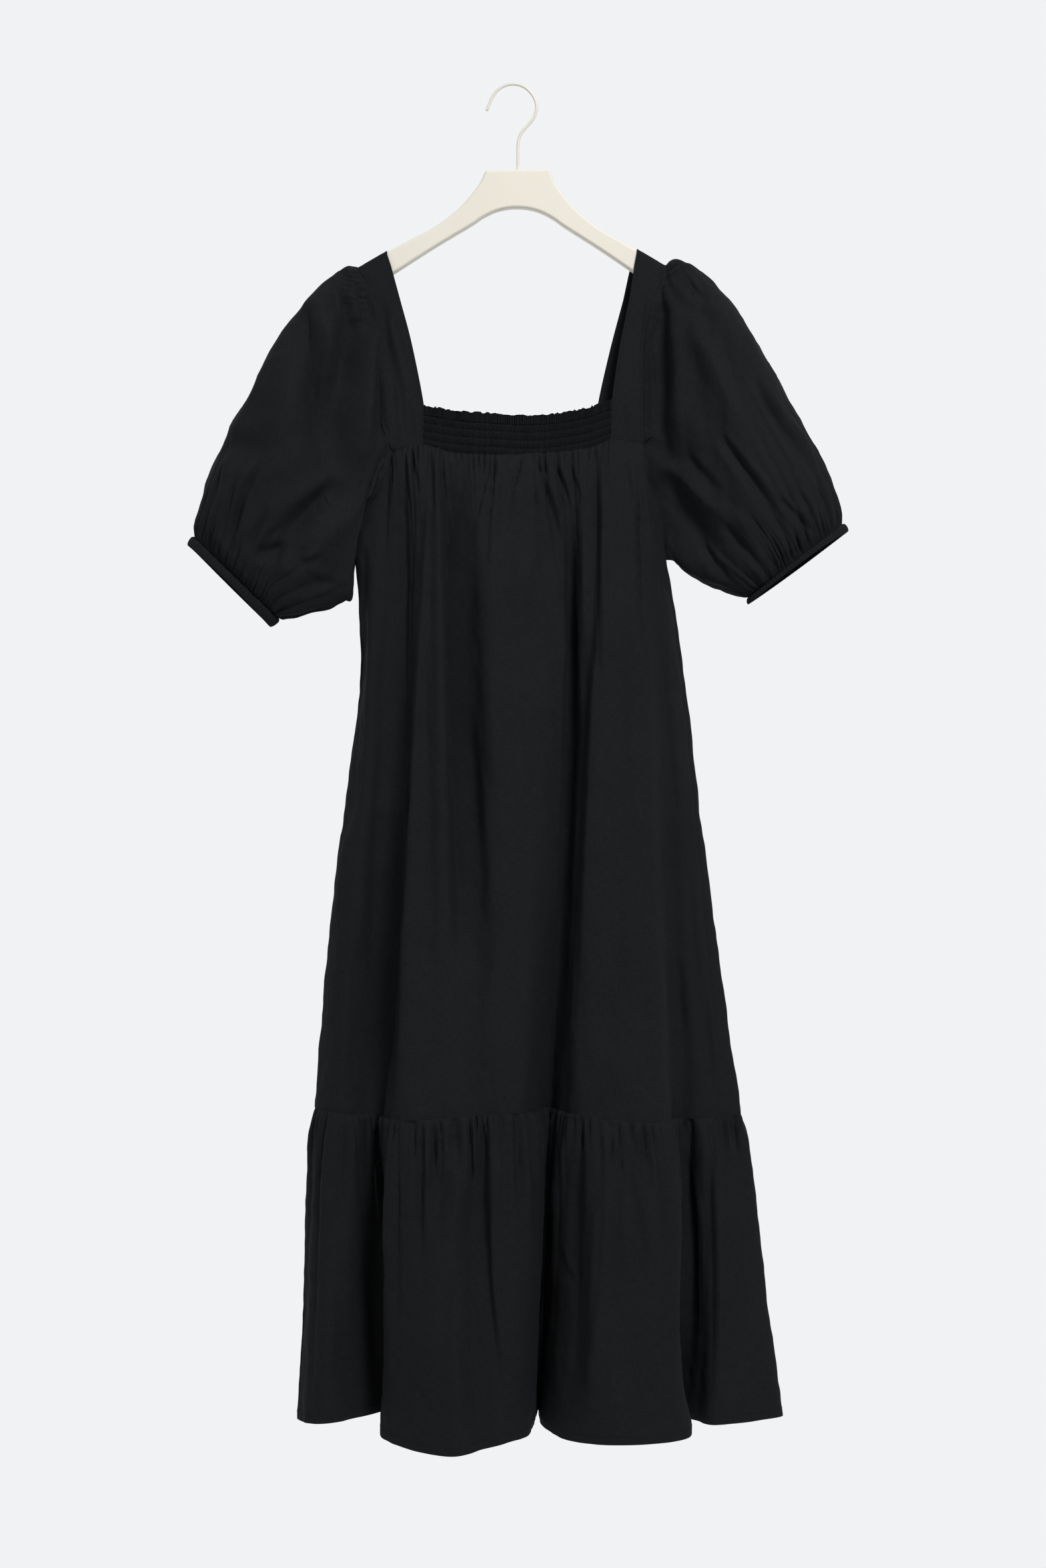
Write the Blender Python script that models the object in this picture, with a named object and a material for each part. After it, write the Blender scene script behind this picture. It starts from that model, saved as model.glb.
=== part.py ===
"""Puff sleeve midi dress on its hanger, as closed solids.

The dress hangs from a flat shaped hanger, and the hanger from its wire hook. The origin is
the inside of the hook's top, where a peg or rail carries it. X runs to the right as the
dress is seen from its front, Y away from the viewer and Z up. Sizes are in metres, and the
tables of sections and folds are in millimetres.

The cloth is worked out as surfaces first: the skirt and flounce as one ring of folds that
runs round the body from the armholes to the hem, the straps over the hanger's arms, the
smocking between them, and each sleeve as a tube that grows out of its armhole's edge. Each
surface then gets its thickness and is parted at the seams.
"""
import math

import bmesh
import bpy
import numpy as np

MM = 0.001

# Cloth
WALL = 1.6 * MM                # cloth with its seam allowances, as a solid wall
SEAM_GAP = 0.3 * MM            # between two pieces at a seam
ARMHOLE_GAP = 0.45 * MM        # and round an armhole, which turns corners

# Heights below the hook, in millimetres
WAIST_Z = -564.0
HIP_Z = -789.0
TIER_Z = -1044.0

# Hanger
HANGER_X = 4.4                 # its middle, to the right of the hook's top
HANGER_THICK = 14.0
HANGER_TILT = math.radians(1.1)  # its right end hangs lower
HANGER_EDGE_ROUND = 4.0
BEVEL_ANGLE = math.radians(60)
WIRE = 3.2
WIRE_SIDES = 8

CREASE_ANGLE = math.radians(50)  # sharper edges than this stay sharp

# Columns between two folds, and rows down each piece
FRONT_COLUMNS = 4
BACK_COLUMNS = 3
SKIRT_ROWS = (0.0, 0.022, 0.06, 0.11, 0.19, 0.30, 0.44, 0.60, 0.78, 0.93, 1.0)
FLOUNCE_ROWS = (0.0, 0.045, 0.14, 0.34, 0.66, 1.0)

# The folds round the body, a row for each crest, flank and hollow, from the left side seam
# across the front to the right side seam and back round behind. Each has its place at the
# panel's upper edge (x, z, depth), its x and depth at the waist, hip and tier seam, and its
# place at the hem (x, depth, z). Depth is towards the wall; the front's crests are negative.
#  name                  top x     z     y    waist x, y    hip x, y     tier x, y     hem x, y, z
FOLDS = (
    ("left seam",         -163.2, -442.7,   0, -156.4,   2, -178.6,   6, -202.6,  10, -219.5,  10, -1361),
    ("left panel",        -136.5, -414.5, -11, -145.5, -20, -159.8, -20, -176.8, -24, -189.0, -20, -1358),
    ("left hollow",       -119.7, -372.0, -12, -127.2, -22, -133.3, -14, -139.0,  -6, -114.0,  44, -1357),
    ("left lobe flank",   -104.7, -368.6, -13, -111.5, -35, -117.0, -32, -130.6, -30, -135.0,  -8, -1371),
    ("left lobe edge",     -91.6, -366.4, -13,  -92.5, -40, -100.6, -44, -111.5, -54, -103.0, -62, -1374),
    ("left lobe",          -69.4, -373.3, -14,  -71.4, -42,  -73.4, -48,  -77.0, -60,  -60.0, -84, -1376),
    ("lobe groove",        -44.9, -376.7, -15,  -45.6, -33,  -42.2, -40,  -38.6, -58,  -32.0, -68, -1373),
    ("lobe right half",    -17.7, -377.4, -16,  -20.4, -42,  -17.0, -50,  -12.2, -60,   -8.0, -62, -1368),
    ("lobe right edge",     17.7, -376.0, -16,   20.4, -40,   18.0, -46,   12.5, -48,   15.0, -32, -1366),
    ("middle hollow",       44.9, -374.0, -15,   54.4, -12,   46.2,  -8,   35.4,  -2,   25.0,  44, -1358),
    ("right lobe flank",    62.6, -371.3, -14,   69.4, -28,   58.5, -28,   47.6, -28,   31.0,   2, -1366),
    ("right lobe edge",     81.6, -367.9, -13,   85.7, -40,   74.8, -44,   65.3, -52,   58.0, -48, -1369),
    ("right lobe",          98.6, -360.2, -13,  108.8, -43,  105.4, -50,  105.4, -62,  110.0, -74, -1367),
    ("right ridge",        115.6, -363.0, -13,  130.6, -38,  138.7, -44,  149.6, -52,  174.0, -60, -1363),
    ("right hollow",       131.9, -365.0, -12,  146.2, -24,  156.4, -18,  163.2, -12,  166.0,  18, -1358),
    ("right panel",        139.5, -411.4, -11,  158.4, -16,  173.4, -14,  187.0, -12,  186.0,  -6, -1358),
    ("right seam",         153.4, -470.0,  -7,  166.0,  -4,  189.0,  -4,  208.1,  -6,  207.0, -26, -1358),
    ("right turn",         155.6, -482.0,   4,  167.4,   4,  194.4,   8,  231.0,   8,  274.0,   8, -1357),
    ("back right turn",    139.4, -411.4,  10,  146.2,  24,  163.2,  26,  190.4,  26,  238.0,  44, -1360),
    ("back right crest",   122.4, -370.0,  12,  122.4,  24,  132.6,  34,  149.6,  44,  176.8,  60, -1362),
    ("back right hollow",  102.0, -372.0,  13,   91.8,  28,   91.8,  24,   98.6,  22,  108.8,  20, -1360),
    ("back lobe",           83.6, -374.0,  13,   61.2,  26,   54.4,  36,   47.6,  46,   51.0,  64, -1363),
    ("back lobe edge",      34.0, -378.0,  14,   20.4,  32,   13.6,  40,    6.8,  44,    3.4,  60, -1362),
    ("back hollow",         -6.8, -378.0,  14,  -13.6,  22,  -23.8,  22,  -37.4,  18,  -47.6,  14, -1360),
    ("back left lobe",     -47.6, -377.0,  14,  -47.6,  32,  -61.2,  40,  -78.2,  46,  -95.2,  64, -1363),
    ("back left edge",     -93.8, -373.0,  13,  -85.0,  24, -102.0,  28, -122.4,  36, -136.0,  58, -1362),
    ("back left hollow",  -107.0, -372.0,  12, -117.0,  30, -136.0,  22, -159.8,  20, -183.6,  24, -1360),
    ("back left turn",    -123.0, -372.0,  12, -131.0,  23, -150.0,  22, -176.0,  24, -200.6,  30, -1360),
    ("back armhole",      -138.5, -415.0,  10, -146.0,  16, -168.0,  18, -193.0,  22, -212.0,  24, -1360),
)
FRONT_SEAMS = ("left seam", "right seam")
STRAP_FOLDS = {                # where each strap's outer and inner edges meet the panels
    "left": (("left hollow", "left lobe edge"), ("back left turn", "back left edge")),
    "right": (("right hollow", "right lobe"), ("back right crest", "back lobe")),
}

# Small gathers: how deep, and how far below their seam they fade
GATHER_SPACING = 7.0           # columns closer than this have shallower gathers
YOKE_GATHER = (2.6, 62.0)
TIER_GATHER = (2.4, 46.0)
YOKE_FULLNESS = (7.0, 34.0)    # the cloth springs out below the smocking
YOKE_Z = -378.0                # lowest the gathered edge lies; the armholes' edges lie lower
ARMHOLE_FADE = 14.0
TIER_FULLNESS = (4.0, 60.0)
GATHER_START = 5.0             # a gather rises from its seam over this length
GATHER_UNEVEN = (0.25, 0.9)    # how much the gathers differ, and how often
TIER_WAVE = (4.5, 0.021, 1.1)  # the tier seam rises and falls: how far, how often, from where,
TIER_SLOPE = 0.012             # and hangs lower to the right

# Straps, seen from the front: inner and outer edge (x, z) and depth, from the seam up to
# the shoulder. The last row lies over the hanger's arm.
#                inner x      z   outer x      z    depth
STRAP_ROWS = {
    ("left", "front"): (
        (-91.6, -366.4, -119.7, -372.0, 12.5),
        (-91.1, -346.8, -125.1, -351.0, 12.6),
        (-91.4, -324.4, -128.0, -332.0, 12.7),
        (-103.4, -263.8, -133.3, -272.0, 12.5),
        (-115.6, -217.6, -141.0, -225.0, 11.0),
    ),
    ("left", "back"): (
        (-93.8, -373.0, -123.0, -372.0, 12.5),
        (-94.4, -346.8, -126.0, -351.0, 12.6),
        (-96.0, -324.4, -128.6, -332.0, 12.7),
        (-107.0, -263.8, -134.0, -272.0, 12.5),
        (-118.0, -217.6, -141.6, -225.0, 11.0),
    ),
    ("right", "front"): (
        (98.6, -360.2, 131.9, -365.0, 12.5),
        (99.4, -340.0, 131.4, -345.0, 12.6),
        (100.2, -318.0, 131.2, -322.0, 12.7),
        (108.0, -265.0, 131.5, -268.0, 12.5),
        (118.0, -216.0, 138.6, -222.0, 11.0),
    ),
    ("right", "back"): (
        (83.6, -374.0, 122.4, -370.0, 12.5),
        (84.6, -346.0, 124.0, -350.0, 12.6),
        (86.6, -320.0, 125.8, -326.0, 12.7),
        (99.0, -265.0, 130.0, -270.0, 12.5),
        (112.0, -216.0, 138.0, -222.0, 11.0),
    ),
}
SHOULDER_X = {"left": (-129.2, -157.8), "right": (125.6, 152.6)}   # inner, outer, on the arm
SHOULDER_LEAN = {              # how far each edge has come in where it leaves the arm
    ("left", "front"): (4.6, 8.4), ("left", "back"): (4.2, 8.0),
    ("right", "front"): (-2.8, -3.2), ("right", "back"): (-6.2, -3.4),
}
STRAP_ROOM = 1.4               # the strap's middle above the arm
STRAP_TAKE_UP = (0.6, -17.0)   # where it leaves the arm: further out by, and how far down
STRAP_COLUMNS = 4
STRAP_ROWS_BETWEEN = 2

# Smocking and back band
SMOCK_TOP = ((-91.0, -327.0), (-61.9, -332.0), (-25.8, -335.2), (21.8, -337.2),
             (69.0, -330.4), (100.0, -320.4))   # neck edge, x and z
BAND_TOP = ((-95.6, -330.0), (-6.0, -336.0), (86.4, -330.0))
SMOCK_PUCKERS = 44
SMOCK_RELIEF = 1.1
PUCKER_UNEVEN = (0.2, 1.7)     # how much the puckers differ, and how often
NECK_POINTS = 60               # along a panel's smooth upper edge
# How far down from the neck each row lies (fraction of the height), and how much of the
# relief shows there: small on an elastic row, full between two
SMOCK_LEVELS = ((0.0, 1.0), (0.20, 0.25), (0.36, 0.9), (0.52, 0.25), (0.68, 0.9),
                (0.84, 0.25), (1.0, 0.6))
BAND_LEVELS = (0.0, 0.2, 0.4, 0.6, 0.8, 1.0)
BAND_COLUMNS = 12

# Sleeves: each section's upper and lower end (x, z) as the outline shows them, and how far
# it puffs out to the front and back. The last is the cuff's seam.
#   upper x     z    lower x      z   front  back
SLEEVE_SECTIONS = {
    "left": (
        (-181.0, -192.0, -164.5, -516.0, 34, 28),
        (-198.0, -206.5, -172.0, -523.5, 43, 34),
        (-214.0, -223.0, -180.0, -528.0, 50, 38),
        (-239.4, -259.8, -190.4, -532.5, 55, 40),
        (-274.0, -324.4, -214.2, -538.6, 57, 40),
        (-306.0, -387.6, -229.8, -542.0, 52, 38),
        (-318.9, -435.2, -235.3, -543.3, 43, 33),
        (-325.0, -459.7, -239.4, -542.6, 32, 26),
    ),
    "right": (
        (175.0, -180.5, 166.5, -487.0, 34, 28),
        (191.0, -191.5, 176.0, -495.0, 43, 34),
        (206.0, -205.0, 190.0, -503.0, 50, 38),
        (226.4, -229.2, 204.0, -510.0, 55, 40),
        (258.4, -282.9, 216.0, -515.4, 57, 40),
        (296.5, -351.6, 227.8, -518.2, 52, 38),
        (323.0, -404.6, 235.3, -519.5, 44, 33),
        (334.6, -446.8, 240.7, -520.9, 32, 26),
    ),
}
CAP_LEAD = 3.5                 # the sleeve leaves its seam flat before it puffs,
CAP_STEP = (8.0, 4.0)          # then steps aside and out,
CAP_LIFT = {"left": 0.0, "right": 4.5}   # and its gathers stand up on the shoulder
SLEEVE_SQUARENESS = 0.8        # below 1, a section is fuller than an ellipse
CAP_GATHER = (2.2, 0.16, 0.14) # how deep, where along the sleeve, and how far it spreads
CAP_GATHER_BELOW = 0.35        # share of it under the arm
CUFF_GATHER = (2.0, 0.93, 0.09)
FOLD_ENDS = 0.7                # below 1, a fold keeps its depth nearer to its ends
# Folds along the sleeves: angle round the sleeve at the cap and at the cuff (0 on top,
# 90 in front, 180 under the arm), where along it each starts and ends, width and depth
SLEEVE_FOLDS = {
    "left": ((38, 52, 0.05, 0.95, 16, 7.0), (72, 80, 0.10, 0.90, 18, 9.0),
             (112, 104, 0.05, 0.85, 16, 8.0), (142, 130, 0.15, 0.70, 14, 6.0),
             (230, 236, 0.10, 0.90, 18, 7.0), (290, 282, 0.08, 0.85, 18, 7.0)),
    "right": ((30, 70, 0.12, 0.95, 15, 8.0), (62, 104, 0.05, 0.90, 17, 9.0),
              (100, 132, 0.05, 0.80, 16, 8.0), (135, 150, 0.20, 0.75, 14, 6.0),
              (226, 238, 0.10, 0.90, 18, 7.0), (286, 278, 0.08, 0.85, 18, 7.0)),
}

# Cuffs: the lower edge's two ends (x, z), its front and back puff
CUFF_EDGE = {
    "left": (-330.5, -468.6, -249.0, -549.6, 34, 28),
    "right": (339.2, -454.4, 240.2, -527.6, 34, 28),
}
CUFF_LEVELS = (0.0, 0.3, 1.0)  # its rows, and the share of its gathers at each
CUFF_RELIEF = (0.0, 0.6, 1.0)
CUFF_FLARE = 1.4
CUFF_BOW = (2.5, -1.0)         # the edge is drawn up in front and hangs behind

# Hanger's outline, right half from the middle of the plate's top, out along the upper edge
# to the tip and back along the lower edge to the middle of the arch (x from its middle, z)
HANGER_UPPER = ((32.5, -85.0), (38.8, -100.3), (54.0, -120.0), (69.0, -134.0), (88.0, -147.6),
                (125.8, -168.2), (161.0, -189.0), (186.0, -208.0), (200.0, -221.0))
HANGER_TIP = ((207.0, -230.0), (207.5, -238.0), (200.0, -241.0))
HANGER_LOWER = ((186.0, -231.0), (161.0, -215.0), (126.5, -193.6), (84.8, -166.2),
                (48.3, -144.5), (24.0, -130.4), (0.0, -124.4))

# Hook: the wire's middle line from its free end over the top and down to the plate (x, z)
HOOK_ROUTE = ((-26.1, -23.8), (-25.6, -17.0), (-22.4, -9.5), (-16.0, -2.6), (-7.0, 1.6),
              (2.0, 2.1), (10.6, -0.6), (18.0, -7.0), (22.6, -15.6), (23.2, -24.0),
              (20.4, -32.4), (13.8, -40.4), (7.6, -48.0), (4.8, -56.6), (4.4, -66.0),
              (4.4, -84.4))

# Colours, linear, with roughness and metallic value
CLOTH_LOOK = ((0.0130, 0.0137, 0.0152, 1.0), 0.82, 0.0)
HANGER_LOOK = ((0.80, 0.76, 0.69, 1.0), 0.48, 0.0)
WIRE_LOOK = ((0.76, 0.74, 0.66, 1.0), 0.35, 0.0)


def clear_scene():
    for item in list(bpy.data.objects):
        bpy.data.objects.remove(item, do_unlink=True)


def material(name, look):
    colour, roughness, metallic = look
    result = bpy.data.materials.new(name)
    result.use_nodes = True
    shader = result.node_tree.nodes["Principled BSDF"]
    shader.inputs["Base Color"].default_value = colour
    shader.inputs["Roughness"].default_value = roughness
    shader.inputs["Metallic"].default_value = metallic
    return result


def unit(vectors):
    return vectors / np.maximum(np.linalg.norm(vectors, axis=-1, keepdims=True), 1e-12)


def through(rows, at, closed=False):
    """Points on the smooth curve through rows, at the row numbers in at."""
    rows = np.asarray(rows, dtype=float)
    count = len(rows)
    at = np.asarray(at, dtype=float)
    start = np.floor(at).astype(int)
    if not closed:
        start = np.clip(start, 0, count - 2)
    part = (at - start)[(...,) + (None,) * (rows.ndim - 1)]

    def row(offset):
        number = start + offset
        if closed:
            return rows[number % count]
        inside = rows[np.clip(number, 0, count - 1)]
        before = (number < 0)[(...,) + (None,) * (rows.ndim - 1)]
        after = (number > count - 1)[(...,) + (None,) * (rows.ndim - 1)]
        inside = np.where(before, 2 * rows[0] - rows[1], inside)
        return np.where(after, 2 * rows[-1] - rows[-2], inside)

    a, b, c, d = row(-1), row(0), row(1), row(2)
    return 0.5 * (2 * b + (c - a) * part + (2 * a - 5 * b + 4 * c - d) * part ** 2
                  + (3 * b - a - 3 * c + d) * part ** 3)


def steady(knots, values, at):
    """A curve through values at rising knots that never swings past them."""
    knots = np.asarray(knots, dtype=float)
    values = np.asarray(values, dtype=float)
    at = np.asarray(at, dtype=float)
    step = np.diff(knots)
    slope = np.diff(values) / step
    tangent = np.zeros(len(knots))
    tangent[0], tangent[-1] = slope[0], slope[-1]
    for k in range(1, len(knots) - 1):
        if slope[k - 1] * slope[k] > 0:
            near, far = step[k - 1], step[k]
            tangent[k] = 3 * (near + far) / ((2 * far + near) / slope[k - 1]
                                             + (far + 2 * near) / slope[k])
    k = np.clip(np.searchsorted(knots, at, side="right") - 1, 0, len(step) - 1)
    part = (at - knots[k]) / step[k]
    return ((1 + 2 * part) * (1 - part) ** 2 * values[k]
            + part * (1 - part) ** 2 * step[k] * tangent[k]
            + part ** 2 * (3 - 2 * part) * values[k + 1]
            + part ** 2 * (part - 1) * step[k] * tangent[k + 1])


def surface_normals(grid, ring):
    """Outward normals of a grid of points; its columns close into a ring if ring is set."""
    down = np.gradient(grid, axis=0)
    if ring:
        across = np.roll(grid, -1, axis=1) - np.roll(grid, 1, axis=1)
    else:
        across = np.gradient(grid, axis=1)
    return unit(np.cross(down, across))


def levelled(normals, grid, rows, ring):
    """The normals with those of the rows given made horizontal, so that seams butt squarely."""
    normals = normals.copy()
    for row in rows:
        line = grid[row]
        across = np.roll(line, -1, axis=0) - np.roll(line, 1, axis=0) if ring \
            else np.gradient(line, axis=0)
        normals[row] = unit(np.cross([0.0, 0.0, -1.0], across))
    return normals


def squared(normals, columns):
    """The same for the columns given, whose normals turn to neither side."""
    normals = normals.copy()
    normals[:, columns, 0] = 0
    return unit(normals)


def trimmed(grid, edges):
    """The grid with the edges named drawn in by half of the seam's gap."""
    grid = grid.copy()
    half = SEAM_GAP / 2
    if "top" in edges:
        grid[0] += unit(grid[1] - grid[0]) * half
    if "bottom" in edges:
        grid[-1] += unit(grid[-2] - grid[-1]) * half
    if "first" in edges:
        grid[:, 0] += unit(grid[:, 1] - grid[:, 0]) * half
    if "last" in edges:
        grid[:, -1] += unit(grid[:, -2] - grid[:, -1]) * half
    return grid


def cloth_wall(name, look, grid, normals, ring=False, relief=None, mirrored=False):
    """A closed solid from a grid of points, WALL thick, with relief on its outer side.

    Its rims are parted into triangles in the same way as the rims that they meet, which is
    mirrored where the two grids' columns run opposite ways."""
    rows, columns = grid.shape[:2]
    outward = WALL / 2 if relief is None else WALL / 2 + relief[..., None]
    outer = (grid + normals * outward).reshape(-1, 3)
    inner = (grid - normals * WALL / 2).reshape(-1, 3)
    count = rows * columns
    faces = []
    steps = columns if ring else columns - 1
    for r in range(rows - 1):
        for c in range(steps):
            here = r * columns + c
            right = r * columns + (c + 1) % columns
            below, below_right = here + columns, right + columns
            faces.append((here, below, below_right, right))
            faces.append((count + here, count + right, count + below_right, count + below))
    edges = [(row * columns + c, row * columns + (c + 1) % columns)
             for c in range(steps) for row in (0, rows - 1)]
    if not ring:
        edges += [(r * columns + column, (r + 1) * columns + column)
                  for r in range(rows - 1) for column in (0, columns - 1)]
    for here, following in edges:
        if mirrored:
            faces.append((here, following, count + here))
            faces.append((following, count + following, count + here))
        else:
            faces.append((here, following, count + following))
            faces.append((here, count + following, count + here))
    return solid(name, look, np.vstack([outer, inner]), faces)


def solid(name, look, points, faces):
    mesh = bpy.data.meshes.new(name)
    mesh.from_pydata([tuple(p) for p in points], [], faces)
    build = bmesh.new()
    build.from_mesh(mesh)
    bmesh.ops.recalc_face_normals(build, faces=build.faces)
    build.to_mesh(mesh)
    build.free()
    mesh.shade_smooth()
    mesh.set_sharp_from_angle(angle=CREASE_ANGLE)
    mesh.materials.append(look)
    result = bpy.data.objects.new(name, mesh)
    bpy.context.scene.collection.objects.link(result)
    return result


def fold_number(name):
    return [row[0] for row in FOLDS].index(name)


def body_columns():
    """Row numbers in FOLDS, one for each column of the ring."""
    last_front = fold_number(FRONT_SEAMS[1])
    front = np.arange(last_front * FRONT_COLUMNS) / FRONT_COLUMNS
    back_count = (len(FOLDS) - last_front) * BACK_COLUMNS
    back = last_front + np.arange(back_count) / BACK_COLUMNS
    return np.concatenate([front, back])


def column_of(name):
    return int(np.argmin(abs(body_columns() - fold_number(name))))


def body_knots(at):
    """The five known places down each column: x, y and z at edge, waist, hip, tier, hem."""
    table = np.array([row[1:] for row in FOLDS])
    zs = np.zeros(len(table))
    knots = np.stack([
        table[:, [0, 2, 1]],
        np.stack([table[:, 3], table[:, 4], zs + WAIST_Z], axis=1),
        np.stack([table[:, 5], table[:, 6], zs + HIP_Z], axis=1),
        np.stack([table[:, 7], table[:, 8], zs + TIER_Z], axis=1),
        table[:, [9, 10, 11]],
    ], axis=1)
    places = through(knots, at, closed=True)
    places[:, 0] = panel_edge(table[:, [0, 2, 1]], at)
    return places


def panel_edge(rows, at):
    """The panels' upper edge: straight under the straps, smooth between, with corners there."""
    outer, inner = ([fold_number(folds[k]) for pair in STRAP_FOLDS.values() for folds in pair]
                    for k in (0, 1))
    corners = sorted(outer + inner)
    edge = np.zeros((len(at), 3))
    for start, end in zip(corners, corners[1:] + [corners[0] + len(rows)]):
        numbers = np.arange(start, end + 1) % len(rows)
        place = (at - start) % len(rows)
        inside = place <= end - start
        under_strap = (start in outer) != (end % len(rows) in outer)
        if under_strap:
            steps = np.arange(len(numbers))
            edge[inside] = np.stack([np.interp(place[inside], steps, rows[numbers, k])
                                     for k in range(3)], axis=1)
        else:
            edge[inside] = through(rows[numbers], place[inside])
    return edge


def tier_height(x):
    """The tier seam rises and falls a little across the front."""
    rise, rate, shift = TIER_WAVE
    return TIER_Z + rise * math.sin(rate * x + shift) - TIER_SLOPE * x


def body_surface():
    """The ring of folds from the armholes to the hem: skirt rows, then flounce rows."""
    at = body_columns()
    knots = body_knots(at)
    skirt = np.zeros((len(SKIRT_ROWS), len(at), 3))
    flounce = np.zeros((len(FLOUNCE_ROWS), len(at), 3))
    for c, places in enumerate(knots):
        heights = -places[:, 2]
        tier = -tier_height(places[3, 0])
        for sheet, levels, top, bottom in ((skirt, SKIRT_ROWS, heights[0], tier),
                                           (flounce, FLOUNCE_ROWS, tier, heights[4])):
            down = top + np.array(levels) * (bottom - top)
            sheet[:, c, 0] = steady(heights, places[:, 0], down)
            sheet[:, c, 1] = steady(heights, places[:, 1], down)
            sheet[:, c, 2] = -down
    yoke_share = np.clip(1 - (YOKE_Z - skirt[0, :, 2]) / ARMHOLE_FADE, 0, 1)
    gathered(skirt, YOKE_GATHER, YOKE_FULLNESS, yoke_share, (0.0, 1.0, 0.0))
    gathered(flounce, TIER_GATHER, TIER_FULLNESS, np.ones(len(at)), (1.0, 1.0, 1.0))
    return skirt * MM, flounce * MM


def gathered(sheet, gather, fullness, share, ways):
    """Moves a sheet's points out below its upper seam, in small gathers that fade.

    The share says how much of it each column has, and ways in which directions it may move."""
    depth, fade = gather
    spring, reach = fullness
    normals = surface_normals(sheet, ring=True)
    below = sheet[0, :, 2][None, :] - sheet[:, :, 2]
    number = np.arange(sheet.shape[1])
    differ, rate = GATHER_UNEVEN
    wave = np.cos(math.pi * number / 2) * (1 - differ + differ * np.sin(number * rate))
    inset = 1 - np.exp(-below / GATHER_START)
    spacing = np.linalg.norm(np.roll(sheet, -1, axis=1) - sheet, axis=-1)
    room = np.clip(spacing / GATHER_SPACING, 0, 1)
    out = depth * wave[None, :] * room * inset * np.exp(-below / fade)
    out += spring * (below / reach) * np.exp(1 - below / reach)
    sheet += normals * np.array(ways) * (out * share[None, :])[..., None]


def arm_top(x):
    """Height of the hanger's upper edge at x, with its tilt."""
    flat = float(np.interp(abs(x - HANGER_X), *hanger_edge(HANGER_UPPER).T))
    return flat - (x - HANGER_X) * math.sin(HANGER_TILT)


def hanger_edge(points):
    """A smooth edge through the points given, with one more between each two."""
    return through(np.array(points), np.arange(0, len(points) - 0.99, 0.5))


def strap_surface(side, skirt):
    """Rows from the front seam over the hanger's arm to the back seam, inner edge first."""
    half = HANGER_THICK / 2
    reach = HANGER_EDGE_ROUND + STRAP_ROOM
    diagonal = reach * math.sqrt(0.5)
    flat = half - HANGER_EDGE_ROUND
    away, drop = STRAP_TAKE_UP
    over = ((half + STRAP_ROOM + away, drop, 1.0), (half + STRAP_ROOM, -HANGER_EDGE_ROUND, 0.2),
            (flat + diagonal, diagonal - HANGER_EDGE_ROUND, 0.0), (flat, STRAP_ROOM, 0.0))
    halves = []
    for face, sign in (("front", -1), ("back", 1)):
        table = STRAP_ROWS[side, face]
        rows = [((ix, sign * y, iz), (ox, sign * y, oz)) for ix, iz, ox, oz, y in table]
        count = (len(rows) - 1) * STRAP_ROWS_BETWEEN + 1
        rows = list(through(np.array(rows), np.linspace(0, len(rows) - 1, count)))
        for y, lift, share in over:
            leaning = [x + share * lean
                       for x, lean in zip(SHOULDER_X[side], SHOULDER_LEAN[side, face])]
            rows.append(np.array([(x, sign * y, arm_top(x) + lift) for x in leaning]))
        halves.append(rows)
    edges = np.array(halves[0] + halves[1][::-1])
    part = np.linspace(0, 1, STRAP_COLUMNS + 1)[None, :, None]
    strap = (edges[:, :1] * (1 - part) + edges[:, 1:] * part) * MM
    for row, (outer, inner) in zip((0, -1), STRAP_FOLDS[side]):
        from_left = (row == 0) == (side == "left")
        seam, _ = body_edge(skirt, *((outer, inner) if from_left else (inner, outer)))
        if from_left:
            seam = seam[::-1]
        strap[row] = through(seam, np.linspace(0, len(seam) - 1, STRAP_COLUMNS + 1))
    return strap


def strap_half(side, strap, face):
    """One half of a strap's rows, from its seam up."""
    count = len(strap) // 2
    return strap[:count] if face == "front" else strap[::-1][:count]


def strap_normals(side, strap):
    normals = squared(surface_normals(strap, ring=False), slice(None))
    normals[0, :, 2] = 0
    normals[-1, :, 2] = 0
    return unit(-normals if side == "right" else normals)


def body_normals(ring):
    """Normals of the ring of folds, squared up along its upper edge."""
    return levelled(surface_normals(ring, ring=True), ring, (0,), ring=True)


def body_edge(skirt, first, last):
    """The skirt's upper edge and its normals between two folds, in the ring's own order."""
    start, end = column_of(first), column_of(last)
    columns = skirt.shape[1]
    span = (end - start) % columns
    numbers = (start + np.arange(span + 1)) % columns
    return skirt[0, numbers], body_normals(skirt)[0, numbers]


def panel_between(upper, lower, left_edge, right_edge, levels, columns):
    """A panel between two straps: upper edge's heights, the seam below and the two sides."""
    fraction = np.linspace(0, 1, columns + 1)
    seam_x = np.interp(fraction, np.linspace(0, 1, len(lower)), lower[:, 0] / MM)
    seam_y = np.interp(seam_x, *sorted_pair(lower[:, 0] / MM, lower[:, 1] / MM))
    seam_z = np.interp(seam_x, *sorted_pair(lower[:, 0] / MM, lower[:, 2] / MM))
    upper = np.array(upper)
    row_numbers = np.linspace(0, len(upper) - 1, NECK_POINTS)
    neck = through(upper, row_numbers)
    grid = np.zeros((len(levels), columns + 1, 3))
    for r, level in enumerate(levels):
        for c in range(columns + 1):
            top_z = np.interp(seam_x[c], *sorted_pair(neck[:, 0], neck[:, 1]))
            z = top_z + level * (seam_z[c] - top_z)
            left = np.interp(z, *sorted_pair(left_edge[:, 2] / MM, left_edge[:, 0] / MM))
            right = np.interp(z, *sorted_pair(right_edge[:, 2] / MM, right_edge[:, 0] / MM))
            share = (seam_x[c] - seam_x[0]) / (seam_x[-1] - seam_x[0])
            grid[r, c] = (left + share * (right - left), seam_y[c], z)
    return grid * MM


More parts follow.
